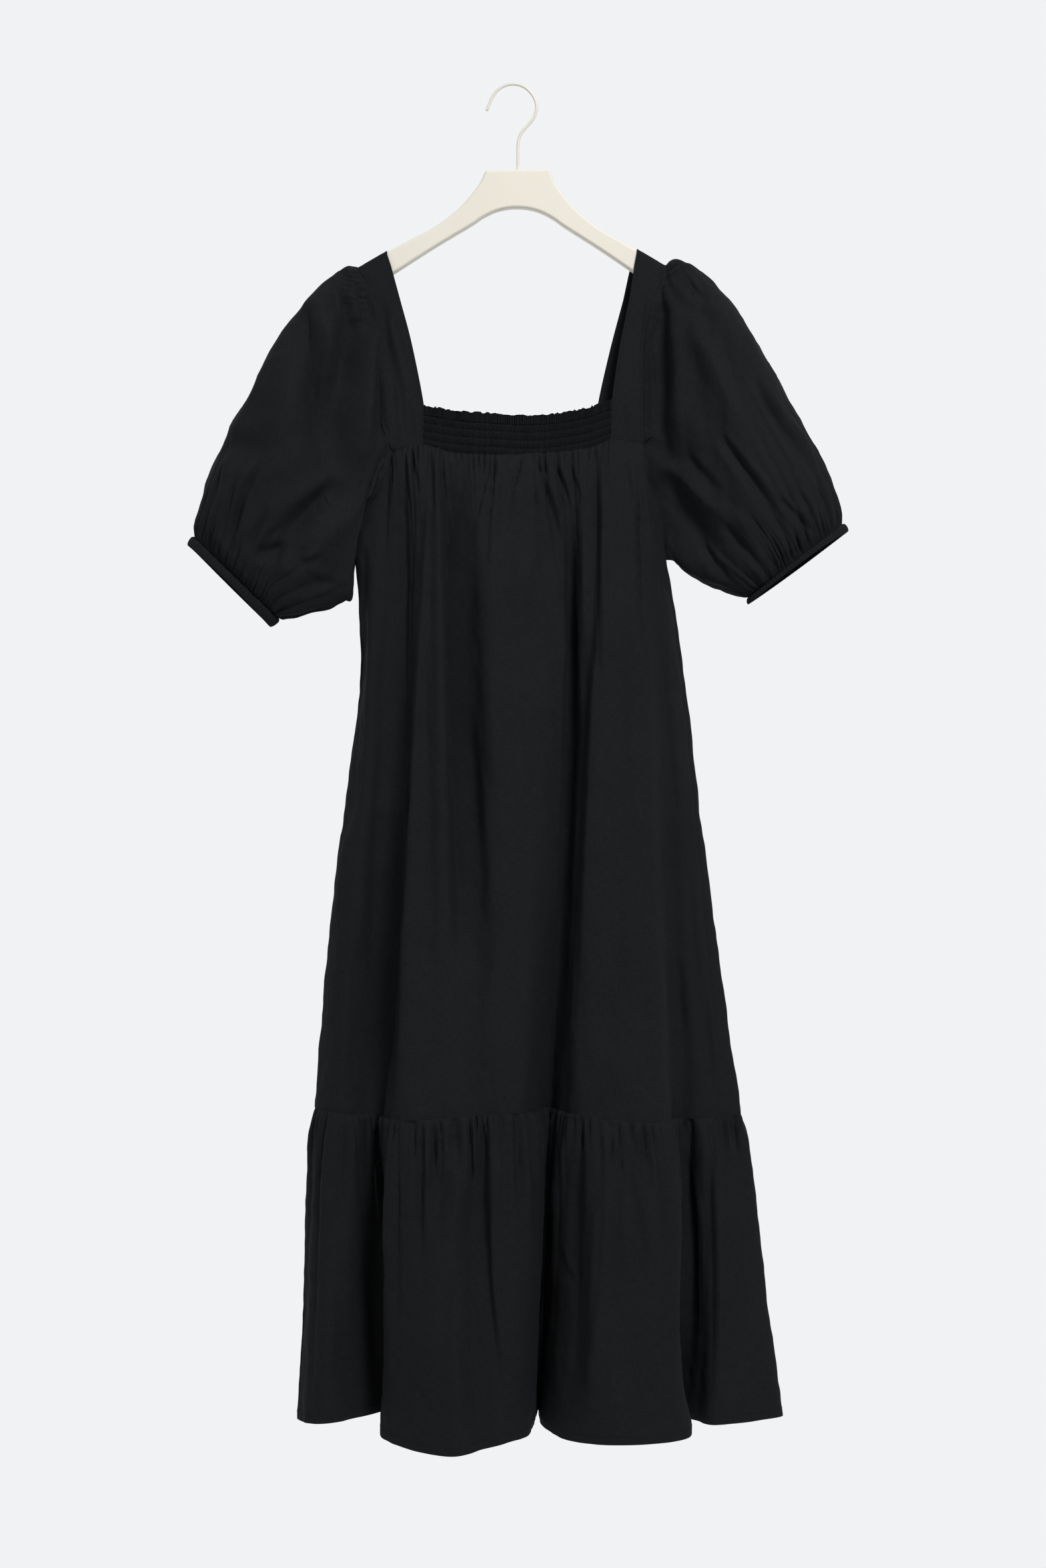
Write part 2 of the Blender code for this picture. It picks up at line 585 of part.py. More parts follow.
def sorted_pair(keys, values):
    order = np.argsort(keys)
    return keys[order], values[order]


def smocking_relief(rows, columns):
    """Fine upright puckers, flattened at each elastic row and level at the seams."""
    amount = np.array([share for _, share in SMOCK_LEVELS])[:, None]
    number = np.arange(columns)[None, :]
    shift = np.arange(rows)[:, None] // 2
    wave = 0.5 + 0.5 * np.cos(math.pi * (number + shift))
    differ, rate = PUCKER_UNEVEN
    return SMOCK_RELIEF * MM * amount * wave * (1 - differ + differ * np.sin(number * rate))


def armhole(side, skirt, strap):
    """The armhole's edge from the shoulder down the front, under the arm and up the back.

    Gives its points and, at each, the cloth's normal and the way out along its surface."""
    outer_front, outer_back = (pair[0] for pair in STRAP_FOLDS[side])
    seam = FRONT_SEAMS[0] if side == "left" else FRONT_SEAMS[1]
    facing = strap_normals(side, strap)
    shoulder = len(strap) // 2
    down_front = np.arange(shoulder - 1, -1, -1)
    up_back = np.arange(len(strap) - 1, shoulder - 1, -1)
    if side == "left":
        ring_front, normal_front = body_edge(skirt, seam, outer_front)
        ring_back, normal_back = body_edge(skirt, outer_back, seam)
        ring_front, normal_front = ring_front[::-1], normal_front[::-1]
        ring_back, normal_back = ring_back[::-1], normal_back[::-1]
    else:
        ring_front, normal_front = body_edge(skirt, outer_front, seam)
        ring_back, normal_back = body_edge(skirt, seam, outer_back)
    points = np.vstack([strap[down_front, -1], ring_front[1:], ring_back[1:], strap[up_back, -1][1:]])
    normals = np.vstack([facing[down_front, -1], normal_front[1:], normal_back[1:],
                         facing[up_back, -1][1:]])
    along = unit(np.roll(points, -1, axis=0) - np.roll(points, 1, axis=0))
    way_out = unit(np.cross(along, normals))
    if side == "right":
        way_out = -way_out
    return points, normals, way_out


def sleeve_surface(side, edge, facing, way_out):
    """Rings from the armhole to the cuff's seam, the cuff's rings after them, and normals."""
    sections = np.array(SLEEVE_SECTIONS[side])
    lengths = np.linalg.norm(np.roll(edge, -1, axis=0) - edge, axis=1)
    travelled = np.concatenate([[0], np.cumsum(lengths)[:-1]])
    angle = 2 * math.pi * travelled / lengths.sum()
    aside = np.array([CAP_STEP[0], 0, 0]) * (-1 if side == "left" else 1)
    spread = np.sign(edge[:, 1:2]) * np.array([[0, CAP_STEP[1], 0]])
    lift = np.array([[0, 0, CAP_LIFT[side]]]) * np.clip(np.cos(angle), 0, 1)[:, None] ** 4
    lead = edge + way_out * CAP_LEAD * MM
    rings = [edge + way_out * ARMHOLE_GAP, lead, lead + (aside + spread + lift) * MM]
    rings += [section_ring(row, angle) for row in sections]
    sleeve = np.array(rings)
    cuff_rows = through(np.array([sections[-1], CUFF_EDGE[side]]), CUFF_LEVELS)
    cuff = np.array([section_ring(row, angle) for row in cuff_rows])
    upward = unit(cuff[0].mean(axis=0) - cuff[-1].mean(axis=0))
    bow = np.where(np.sin(angle) > 0, *CUFF_BOW) * np.sin(angle) ** 2 * MM
    cuff[-1] += upward * bow[:, None]
    plain = tube_normals(np.vstack([sleeve, cuff[1:]]))
    fold_sleeve(side, sleeve, angle)
    pucker_cuff(cuff)
    normals = tube_normals(np.vstack([sleeve, cuff[1:]]))
    seam = len(sleeve) - 1
    normals[0] = facing
    normals[seam] = plain[seam]
    return sleeve, cuff, normals


def section_ring(row, angle):
    """One section: an ellipse between its upper and lower ends, fuller in front."""
    upper_x, upper_z, lower_x, lower_z, front, back = row
    upper = np.array([upper_x, 0.0, upper_z])
    lower = np.array([lower_x, 0.0, lower_z])
    middle, arm = (upper + lower) / 2, (upper - lower) / 2
    round_out = np.sign(np.sin(angle)) * np.abs(np.sin(angle)) ** SLEEVE_SQUARENESS
    across = np.where(np.sin(angle) > 0, front, back) * round_out
    ring = middle + np.cos(angle)[:, None] * arm
    ring[:, 1] -= across
    return ring * MM


def fold_sleeve(side, sleeve, angle):
    """Presses the long folds into a sleeve, and gathers it at its cap and cuff."""
    normals = tube_normals(sleeve)
    rows, columns = sleeve.shape[:2]
    along = np.linspace(0, 1, rows)[:, None]
    degrees = np.degrees(angle)[None, :]
    push = np.zeros((rows, columns))
    for start_angle, end_angle, start, end, width, depth in SLEEVE_FOLDS[side]:
        middle = start_angle + (end_angle - start_angle) * along
        away = (degrees - middle + 180) % 360 - 180
        window = np.clip(np.sin(math.pi * np.clip((along - start) / (end - start), 0, 1)), 0, 1)
        push -= depth * np.exp(-(away / width) ** 2) * window ** FOLD_ENDS
    wave = np.where(np.arange(columns) % 2 == 0, 1.0, -1.0)[None, :]
    on_top = np.abs(np.cos(angle / 2))[None, :]
    for (depth, middle, spread), share in (
            (CAP_GATHER, CAP_GATHER_BELOW + (1 - CAP_GATHER_BELOW) * on_top), (CUFF_GATHER, 1.0)):
        push += wave * depth * share * np.exp(-((along - middle) / spread) ** 2)
    push[:2] = 0
    push[-1] = 0
    sleeve += normals * push[..., None] * MM


def pucker_cuff(cuff):
    """Small upright gathers round a cuff, level at its seam."""
    normals = tube_normals(cuff)
    wave = np.where(np.arange(cuff.shape[1]) % 2 == 0, 1.0, -1.0)[None, :, None]
    amount = np.array(CUFF_RELIEF)[:, None, None]
    cuff += normals * wave * amount * CUFF_FLARE * MM


def tube_normals(tube):
    """Normals of a tube's rings, turned to point away from each ring's middle."""
    normals = surface_normals(tube, ring=True)
    middle = tube.mean(axis=1, keepdims=True)
    facing = np.sum(normals * (tube - middle), axis=-1).mean()
    return normals if facing > 0 else -normals


def hanger_outline():
    """The hanger's outline, both halves, tilted, as x and z."""
    right = np.vstack([hanger_edge(HANGER_UPPER), HANGER_TIP, hanger_edge(HANGER_LOWER)])
    left = right[::-1][1:] * np.array([-1.0, 1.0])
    outline = np.vstack([right, left])
    outline[:, 1] -= outline[:, 0] * math.sin(HANGER_TILT)
    outline[:, 0] += HANGER_X
    return outline


def make_hanger(cream, wire):
    outline = hanger_outline() * MM
    half = HANGER_THICK / 2 * MM
    count = len(outline)
    points = [(x, -half, z) for x, z in outline] + [(x, half, z) for x, z in outline]
    faces = [tuple(range(count)), tuple(range(2 * count - 1, count - 1, -1))]
    for k in range(count):
        following = (k + 1) % count
        faces.append((k, k + count, following + count, following))
    body = solid("hanger_body", cream, points, faces)
    edge = body.modifiers.new("rounded edges", "BEVEL")
    edge.width = HANGER_EDGE_ROUND * MM
    edge.segments = 2
    edge.limit_method = "ANGLE"
    edge.angle_limit = BEVEL_ANGLE

    route = through(np.array(HOOK_ROUTE), np.arange(0, len(HOOK_ROUTE) - 0.99, 0.5)) * MM
    curve = bpy.data.curves.new("hanger_hook", "CURVE")
    curve.dimensions = "3D"
    spline = curve.splines.new("POLY")
    spline.points.add(len(route) - 1)
    for point, (x, z) in zip(spline.points, route):
        point.co = (x, 0.0, z, 1.0)
    curve.bevel_depth = WIRE / 2 * MM
    curve.bevel_resolution = (WIRE_SIDES - 4) // 2
    curve.use_fill_caps = True
    curve.materials.append(wire)
    hook = bpy.data.objects.new("hanger_hook", curve)
    bpy.context.scene.collection.objects.link(hook)


def make_body(cloth, skirt, flounce):
    """Parts the ring of folds into front and back, skirt and flounce."""
    columns = skirt.shape[1]
    seam_left, seam_right = (column_of(name) for name in FRONT_SEAMS)
    front = np.arange(seam_left, seam_right + 1)
    back = np.arange(seam_right, columns + 1) % columns
    whole = np.vstack([skirt, flounce[1:]])
    normals = body_normals(whole)
    parted = len(skirt)
    for name, rows, sheet, edges in (
            ("skirt", slice(0, parted), skirt, ("bottom", "first", "last")),
            ("flounce", slice(parted - 1, None), flounce, ("top", "first", "last"))):
        for face, numbers in (("front", front), ("back", back)):
            grid = trimmed(sheet[:, numbers], edges)
            label = face + "_" + name if name == "skirt" else name + "_" + face
            cloth_wall(label, cloth, grid, normals[rows][:, numbers])


def make_yoke(cloth, skirt, straps):
    """The straps, the smocking between them in front and the band between them behind."""
    for side, strap in straps.items():
        grid = strap.copy()
        grid[0] += unit(strap[1] - strap[0]) * SEAM_GAP
        grid[-1] += unit(strap[-2] - strap[-1]) * SEAM_GAP
        cloth_wall("strap_" + side, cloth, grid, strap_normals(side, strap))

    levels = [level for level, _ in SMOCK_LEVELS]
    seam, _ = body_edge(skirt, STRAP_FOLDS["left"][0][1], STRAP_FOLDS["right"][0][1])
    left = strap_half("left", straps["left"], "front")[:, 0]
    right = strap_half("right", straps["right"], "front")[:, 0]
    grid = panel_between(SMOCK_TOP, seam, left, right, levels, 2 * SMOCK_PUCKERS)
    grid = inset_panel(grid)
    normals = panel_normals(grid)
    cloth_wall("front_smocking", cloth, grid, normals, relief=smocking_relief(*grid.shape[:2]))

    seam, _ = body_edge(skirt, STRAP_FOLDS["right"][1][1], STRAP_FOLDS["left"][1][1])
    left = strap_half("left", straps["left"], "back")[:, 0]
    right = strap_half("right", straps["right"], "back")[:, 0]
    grid = panel_between(BAND_TOP, seam[::-1], left, right, BAND_LEVELS, BAND_COLUMNS)
    grid = inset_panel(grid)
    cloth_wall("back_band", cloth, grid, -panel_normals(grid))


def panel_normals(grid):
    """Normals of a panel between the straps, square to its seams below and at both sides."""
    return squared(levelled(surface_normals(grid, ring=False), grid, (-1,), ring=False), (0, -1))


def inset_panel(grid):
    """Draws a panel in from the pieces below it and at both sides."""
    grid = grid.copy()
    grid[-1] += unit(grid[-2] - grid[-1]) * SEAM_GAP
    grid[:, 0] += np.array([SEAM_GAP, 0, 0])
    grid[:, -1] -= np.array([SEAM_GAP, 0, 0])
    return grid


def make_sleeves(cloth, skirt, straps):
    for side, strap in straps.items():
        sleeve, cuff, normals = sleeve_surface(side, *armhole(side, skirt, strap))
        parted = len(sleeve)
        cloth_wall("sleeve_" + side, cloth, trimmed(sleeve, ("bottom",)), normals[:parted],
                   ring=True, mirrored=side == "left")
        cloth_wall("cuff_" + side, cloth, trimmed(cuff, ("top",)), normals[parted - 1:],
                   ring=True, mirrored=side == "left")


def main():
    clear_scene()
    cloth = material("black cotton", CLOTH_LOOK)
    cream = material("cream hanger", HANGER_LOOK)
    wire = material("coated wire", WIRE_LOOK)
    skirt, flounce = body_surface()
    straps = {side: strap_surface(side, skirt) for side in ("left", "right")}
    make_body(cloth, skirt, flounce)
    make_yoke(cloth, skirt, straps)
    make_sleeves(cloth, skirt, straps)
    make_hanger(cream, wire)


main()
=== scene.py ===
import math

import bmesh
import bpy
import numpy as np
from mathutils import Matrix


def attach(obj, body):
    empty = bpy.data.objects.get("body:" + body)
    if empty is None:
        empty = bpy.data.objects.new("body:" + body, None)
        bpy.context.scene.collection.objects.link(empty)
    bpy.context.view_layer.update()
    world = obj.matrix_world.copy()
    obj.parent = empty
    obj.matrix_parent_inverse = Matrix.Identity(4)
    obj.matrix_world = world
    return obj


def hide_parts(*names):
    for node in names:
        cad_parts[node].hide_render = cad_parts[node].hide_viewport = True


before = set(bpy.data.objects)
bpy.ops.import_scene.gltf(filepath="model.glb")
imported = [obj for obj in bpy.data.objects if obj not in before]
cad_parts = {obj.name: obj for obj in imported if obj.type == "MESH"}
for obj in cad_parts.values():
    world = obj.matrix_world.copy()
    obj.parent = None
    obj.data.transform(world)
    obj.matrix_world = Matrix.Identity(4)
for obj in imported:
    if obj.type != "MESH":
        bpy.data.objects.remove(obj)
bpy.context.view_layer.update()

print("frame loaded")

# All shapes are worked out in millimetres and become metres in the meshes.
# X is to the right as the dress is seen, Y towards its back, Z up from the hook's top.


def unit(vectors, least=1e-12):
    return vectors / np.maximum(np.linalg.norm(vectors, axis=-1, keepdims=True), least)


# points on a smooth curve through rows, at the row numbers in at
def through(rows, at, closed=False):
    rows, at = np.asarray(rows, dtype=float), np.asarray(at, dtype=float)
    count = len(rows)
    start = np.floor(at).astype(int)
    if not closed:
        start = np.clip(start, 0, count - 2)
    part = (at - start)[(...,) + (None,) * (rows.ndim - 1)]

    def row(offset):
        number = start + offset
        if closed:
            return rows[number % count]
        inside = rows[np.clip(number, 0, count - 1)]
        before = (number < 0)[(...,) + (None,) * (rows.ndim - 1)]
        after = (number > count - 1)[(...,) + (None,) * (rows.ndim - 1)]
        inside = np.where(before, 2 * rows[0] - rows[1], inside)
        return np.where(after, 2 * rows[-1] - rows[-2], inside)

    a, b, c, d = row(-1), row(0), row(1), row(2)
    return 0.5 * (2 * b + (c - a) * part + (2 * a - 5 * b + 4 * c - d) * part ** 2
                  + (3 * b - a - 3 * c + d) * part ** 3)


# a curve through values at rising knots that never swings past them
def steady(knots, values, at):
    step = np.diff(knots)
    slope = np.diff(values) / step
    tangent = np.zeros(len(knots))
    tangent[0], tangent[-1] = slope[0], slope[-1]
    for k in range(1, len(knots) - 1):
        if slope[k - 1] * slope[k] > 0:
            near, far = step[k - 1], step[k]
            tangent[k] = 3 * (near + far) / ((2 * far + near) / slope[k - 1]
                                             + (far + 2 * near) / slope[k])
    k = np.clip(np.searchsorted(knots, at, side="right") - 1, 0, len(step) - 1)
    part = (at - knots[k]) / step[k]
    return ((1 + 2 * part) * (1 - part) ** 2 * values[k]
            + part * (1 - part) ** 2 * step[k] * tangent[k]
            + part ** 2 * (3 - 2 * part) * values[k + 1]
            + part ** 2 * (part - 1) * step[k] * tangent[k + 1])


# a grid's normals, to the side that its rows and columns give
def gridNormals(grid, ring):
    across = np.gradient(grid, axis=1)
    if ring:
        across = np.roll(grid, -1, axis=1) - np.roll(grid, 1, axis=1)
    return unit(np.cross(np.gradient(grid, axis=0), across))


# the same for a panel that faces the front (-1) or the back (1)
def panelNormals(grid, facing):
    normals = gridNormals(grid, ring=False)
    return normals if normals[..., 1].mean() * facing > 0 else -normals


# the same for a tube, outwards
def tubeNormals(tube):
    normals = gridNormals(tube, ring=True)
    facing = np.sum(normals * (tube - tube.mean(axis=1, keepdims=True)), axis=-1).mean()
    return normals if facing > 0 else -normals


# distance along each line of a grid, down its rows
def travelled(grid):
    steps = np.linalg.norm(np.diff(grid, axis=0), axis=-1)
    return np.vstack([np.zeros((1, grid.shape[1])), np.cumsum(steps, axis=0)])


# smooth uneven values from -1 to 1 along a line
def uneven(along, spacing, seed, count=2048):
    knots = np.random.default_rng(seed).uniform(-1, 1, count)
    place = along / spacing
    k = np.floor(place).astype(int)
    part = place - k
    part = part * part * (3 - 2 * part)
    return knots[k % count] * (1 - part) + knots[(k + 1) % count] * part


# soft uneven waves in space, about -1 to 1, longer upright than across
def softWaves(points, size, stretch, seed, count=22, spread=(0.6, 1.7)):
    rng = np.random.default_rng(seed)
    total = np.zeros(points.shape[:-1])
    for _ in range(count):
        way = unit(rng.normal(size=3)) / np.array([1.0, 1.0, stretch])
        rate = 2 * math.pi / (size * rng.uniform(*spread))
        total += np.sin((points @ way) * rate + rng.uniform(0, 2 * math.pi))
    return total * math.sqrt(2 / count)


# how gathers differ from each other: by how much, and after how many spacings it changes
gatherForm = dict(
    swing=0.9, swingEvery=3.1,              # aside at the seam, in spacings
    lean=0.10, leanEvery=5.3,               # aside for each mm below it
    height=2.2, sunk=1.35, plump=0.8,       # of the wave, whose tops are round and dips narrow
    size=0.85, sizeSpread=0.5, sizeEvery=1.9,
    lengthSpread=0.9, lengthEvery=1.3,
    held=0.3, freeIn=0.7,                   # its share at the seam, and where it is full, in spacings
    fade=1.2, seedStep=11,
)


# gathers that run from a seam; bands is (spacing, depth, reach) for each size of gather
def gathers(along, below, bands, seed):
    form = gatherForm
    total = np.zeros(np.broadcast(along, below).shape)
    for number, (spacing, depth, reach) in enumerate(bands):
        key = seed + form["seedStep"] * number
        place = along + form["swing"] * spacing * uneven(along, form["swingEvery"] * spacing, key)
        place = place + form["lean"] * below * uneven(along, form["leanEvery"] * spacing, key + 1)
        wave = form["height"] * np.abs(np.sin(math.pi * place / spacing)) ** form["plump"] - form["sunk"]
        size = form["size"] + form["sizeSpread"] * uneven(along, form["sizeEvery"] * spacing, key + 2)
        longer = form["lengthSpread"] * uneven(along, form["lengthEvery"] * spacing, key + 3)
        free = 1 - np.exp(-below / (form["freeIn"] * spacing))
        rise = form["held"] + (1 - form["held"]) * free
        total += depth * size * wave * rise * np.exp(-(below / (reach * np.exp(longer))) ** form["fade"])
    return total


creaseForm = dict(
    startWide=0.75, widens=0.6,         # its width at the start, and what that gains by the end
    gentle=1.35,                        # the gentle flank's width
    deepest=0.75, blunt=0.8,            # where along it is deepest, and how blunt its ends are
    swell=0.3, swellAt=2.3,             # the swell beside it: its height, and its place in widths
)


# creases given one by one, as seen from in front or behind: where each starts and ends, how far
# it bows aside, its width and its depth (a ridge is positive), each with a soft swell beside it.
# One flank is steep, the right one as the crease runs down, or the left where width is negative
def pressed(x, z, creases, steep=0.55, crisp=1.5):
    form = creaseForm
    push = np.zeros(x.shape)
    for x0, z0, x1, z1, bow, width, depth in creases:
        run = np.array([x1 - x0, z1 - z0])
        length = np.linalg.norm(run)
        part = ((x - x0) * run[0] + (z - z0) * run[1]) / length ** 2
        inside = np.clip(part, 0, 1)
        away = ((x - x0) * run[1] - (z - z0) * run[0]) / length
        away = away - bow * np.sin(math.pi * inside)
        wide = abs(width) * (form["startWide"] + form["widens"] * inside)
        wide = wide * np.where(away * width > 0, form["gentle"], steep)
        window = np.sin(math.pi * inside ** form["deepest"]) ** form["blunt"]
        trough = np.exp(-(np.abs(away) / wide) ** crisp)
        swell = np.exp(-((np.abs(away) - form["swellAt"] * wide) / wide) ** 2)
        push += depth * window * (trough - form["swell"] * swell)
    return push


cloth = dict(
    wall=0.7,               # one layer and its seam allowances
    strapWall=1.1,          # two layers
    seamDip=0.55, sideSeamDip=0.77, seamWidth=1.6,
    crumple=((34.0, 2.4, 0.55), (13.0, 1.8, 0.22)),   # size, how upright, depth
    sharpAngle=62.0,        # the shell's rims stay sharp, its face smooth
)


def linked(name, data):
    thing = bpy.data.objects.new(name, data)
    bpy.context.scene.collection.objects.link(thing)
    return thing


# a closed thin shell from a grid of points; its cloth map is in metres, along weft and warp
def clothShell(name, grid, normals, wall, ring=False):
    rows, columns = grid.shape[:2]
    steps = columns if ring else columns - 1
    outer = grid + normals * wall / 2
    inner = grid - normals * wall / 2
    count = rows * columns
    r, c = np.meshgrid(np.arange(rows - 1), np.arange(steps), indexing="ij")
    r, c = r.ravel(), c.ravel()
    following = (c + 1) % columns
    corner = np.stack([r * columns + c, (r + 1) * columns + c,
                       (r + 1) * columns + following, r * columns + following], axis=1)
    across = np.roll(grid, -1, axis=1) - grid if ring else np.gradient(grid, axis=1)
    outward = np.sum(np.cross(np.gradient(grid, axis=0), across) * normals) > 0
    face = corner if outward else corner[:, ::-1]
    faces = [face, face[:, ::-1] + count]
    line = np.arange(steps)
    nextOne = (line + 1) % columns
    top = np.stack([line, nextOne, nextOne + count, line + count], axis=1)
    last = (rows - 1) * columns
    bottom = np.stack([line + last, line + last + count, nextOne + last + count,
                       nextOne + last], axis=1)
    rims = [top, bottom]
    if not ring:
        down = np.arange(rows - 1) * columns
        end = down + columns - 1
        rims.append(np.stack([down, down + count, down + columns + count, down + columns], axis=1))
        rims.append(np.stack([end, end + columns, end + columns + count, end + count], axis=1))
    faces += [rim if outward else rim[:, ::-1] for rim in rims]
    faces = np.vstack(faces)
    points = np.vstack([outer.reshape(-1, 3), inner.reshape(-1, 3)]) / 1000

    mesh = bpy.data.meshes.new(name)
    mesh.from_pydata(points.tolist(), [], faces.tolist())
    width = np.linalg.norm(np.diff(grid, axis=1), axis=-1).mean(axis=0)
    weft = np.concatenate([[0], np.cumsum(width)]) / 1000
    warp = travelled(grid).mean(axis=1) / 1000
    column = faces % columns
    place = np.stack([weft[column], warp[(faces % count) // columns]], axis=-1)
    if ring:               # the last column's faces carry on past the end of the map
        seam = (column == 0) & (column.max(axis=1) == columns - 1)[:, None]
        place[..., 0] = np.where(seam, weft[-1] + width.mean() / 1000, place[..., 0])
    layer = mesh.uv_layers.new(name="clothMap")
    layer.data.foreach_set("uv", place.reshape(-1))
    mesh.shade_smooth()
    mesh.set_sharp_from_angle(angle=math.radians(cloth["sharpAngle"]))
    return linked(name, mesh)


# a piece that stands in for one node of the solids
def standIn(piece, node, look):
    piece.data.materials.append(look)
    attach(piece, "root")
    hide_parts(node)


def finishCloth(piece, node, look):
    standIn(piece, node, look)


# sRGB hex to linear
def shade(hexCode, alpha=1.0):
    values = [int(hexCode[k:k + 2], 16) / 255 for k in (1, 3, 5)]
    return [v / 12.92 if v <= 0.04045 else ((v + 0.055) / 1.055) ** 2.4 for v in values] + [alpha]


# settings name the node's sockets or its properties, and links name the sockets that are fed
def addNode(tree, kind, settings=None, links=None):
    node = tree.nodes.new(kind)
    for key, value in (settings or {}).items():
        if isinstance(key, str) and key not in node.inputs:
            setattr(node, key, value)
        else:
            node.inputs[key].default_value = value
    for key, source in (links or {}).items():
        tree.links.new(source, node.inputs[key])
    return node


def startMaterial(name, settings):
    look = bpy.data.materials.new(name)
    look.use_nodes = True
    tree = look.node_tree
    shader = tree.nodes["Principled BSDF"]
    for key, value in settings.items():
        shader.inputs[key].default_value = value
    return look, tree, shader


# Black cotton poplin, plain-woven from slubby yarn and piece-dyed: dry and matt, with a dusty
# bloom where it turns away. Its threads, 0.35 mm apart in real cloth, are drawn at a pitch that shows.
cotton = dict(
    pitch=0.9, slub=0.8, slubLength=8.5,        # of the threads, and of their thick places
    crinkle=(16.0, 90.0),                       # how wide and long the rumples are
    threadRise=0.00025, crinkleRise=0.0006,     # in metres
    roughness=0.85, dark="#161719", light="#232527",
)


# dark and light are its shades, which mix by thread and by uneven wash
def cottonCloth(name, dark, light, bumpScale=1.0):
    look, tree, shader = startMaterial(name, {
        "Roughness": cotton["roughness"], "IOR": 1.46, "Specular IOR Level": 0.07,
        "Sheen Weight": 0.03, "Sheen Roughness": 0.5, "Sheen Tint": shade("#8f949c")})
    place = addNode(tree, "ShaderNodeUVMap", {"uv_map": "clothMap"})
    mm = addNode(tree, "ShaderNodeMapping", {"Scale": (1000, 1000, 1000)},
                 {"Vector": place.outputs["UV"]})
    threads = []
    for wide, long in ((cotton["slub"], cotton["slubLength"]),       # warp, then weft
                       (cotton["slubLength"], cotton["slub"])):
        turned = addNode(tree, "ShaderNodeMapping", {"Scale": (1 / wide, 1 / long, 1)},
                         {"Vector": mm.outputs["Vector"]})
        threads.append(addNode(tree, "ShaderNodeTexNoise",
                               {"Scale": 1.0, "Detail": 2.0, "Roughness": 0.6},
                               {"Vector": turned.outputs["Vector"]}).outputs["Fac"])
    bands = []
    bandScale = 0.314 / cotton["pitch"]         # a wave texture of scale 0.314 has a band each unit
    for direction in ("X", "Y"):
        bands.append(addNode(tree, "ShaderNodeTexWave",
                             {"bands_direction": direction, "Scale": bandScale,
                              "Distortion": 0.6, "Detail": 1.0, "Detail Scale": 0.4},
                             {"Vector": mm.outputs["Vector"]}).outputs["Fac"])
    weave = addNode(tree, "ShaderNodeMath", {"operation": "MULTIPLY"}, {0: bands[0], 1: bands[1]})
    slubs = addNode(tree, "ShaderNodeMath", {"operation": "ADD"}, {0: threads[0], 1: threads[1]})
    height = addNode(tree, "ShaderNodeMath", {"operation": "MULTIPLY_ADD", 1: 0.5},
                     {0: weave.outputs[0], 2: slubs.outputs[0]})
    tone = addNode(tree, "ShaderNodeMapRange", {"From Min": 0.7, "From Max": 1.3},
                   {"Value": slubs.outputs[0]})
    wash = addNode(tree, "ShaderNodeTexNoise", {"Scale": 9.0, "Detail": 3.0},
                   {"Vector": addNode(tree, "ShaderNodeTexCoord").outputs["Object"]})
    washed = addNode(tree, "ShaderNodeMath", {"operation": "MULTIPLY", 1: 0.4},
                     {0: wash.outputs["Fac"]})
    share = addNode(tree, "ShaderNodeMath", {"operation": "MULTIPLY_ADD", 1: 0.6},
                    {0: tone.outputs["Result"], 2: washed.outputs[0]})
    colour = addNode(tree, "ShaderNodeMix", {"data_type": "RGBA", 6: shade(dark), 7: shade(light)},
                     {"Factor": share.outputs[0]})
    bump = addNode(tree, "ShaderNodeBump",
                   {"Strength": 0.5 * bumpScale, "Distance": cotton["threadRise"]},
                   {"Height": height.outputs[0]})
    across, along = cotton["crinkle"]
    crinkled = addNode(tree, "ShaderNodeMapping", {"Scale": (1 / across, 1 / along, 1)},
                       {"Vector": mm.outputs["Vector"]})
    crinkle = addNode(tree, "ShaderNodeTexNoise", {"noise_type": "RIDGED_MULTIFRACTAL",
                                                   "Scale": 1.0, "Detail": 2.0, "Distortion": 0.5},
                      {"Vector": crinkled.outputs["Vector"]})
    rumpled = addNode(tree, "ShaderNodeBump",
                      {"invert": True, "Strength": 0.5 * bumpScale, "Distance": cotton["crinkleRise"]},
                      {"Height": crinkle.outputs["Fac"], "Normal": bump.outputs["Normal"]})
    tree.links.new(colour.outputs[2], shader.inputs["Base Color"])
    tree.links.new(rumpled.outputs["Normal"], shader.inputs["Normal"])
    return look


blackPoplin = cottonCloth("blackCottonPoplin", cotton["dark"], cotton["light"])
shirredPoplin = cottonCloth("shirredBlackCotton", "#111213", "#1e1f21", 0.6)

# Sewing thread, spun polyester, dyed to match the cloth it lies on, but smoother
thread, _, _ = startMaterial("blackSewingThread", {
    "Base Color": shade("#1c1d1f"), "Roughness": 0.6, "Specular IOR Level": 0.1})


# a fine unevenness of the surface, by noise of this scale
def grainy(tree, shader, scale, detail, strength):
    place = addNode(tree, "ShaderNodeTexCoord").outputs["Object"]
    noise = addNode(tree, "ShaderNodeTexNoise", {"Scale": scale, "Detail": detail}, {"Vector": place})
    bump = addNode(tree, "ShaderNodeBump", {"Strength": strength, "Distance": 0.0001},
                   {"Height": noise.outputs["Fac"]})
    tree.links.new(bump.outputs["Normal"], shader.inputs["Normal"])


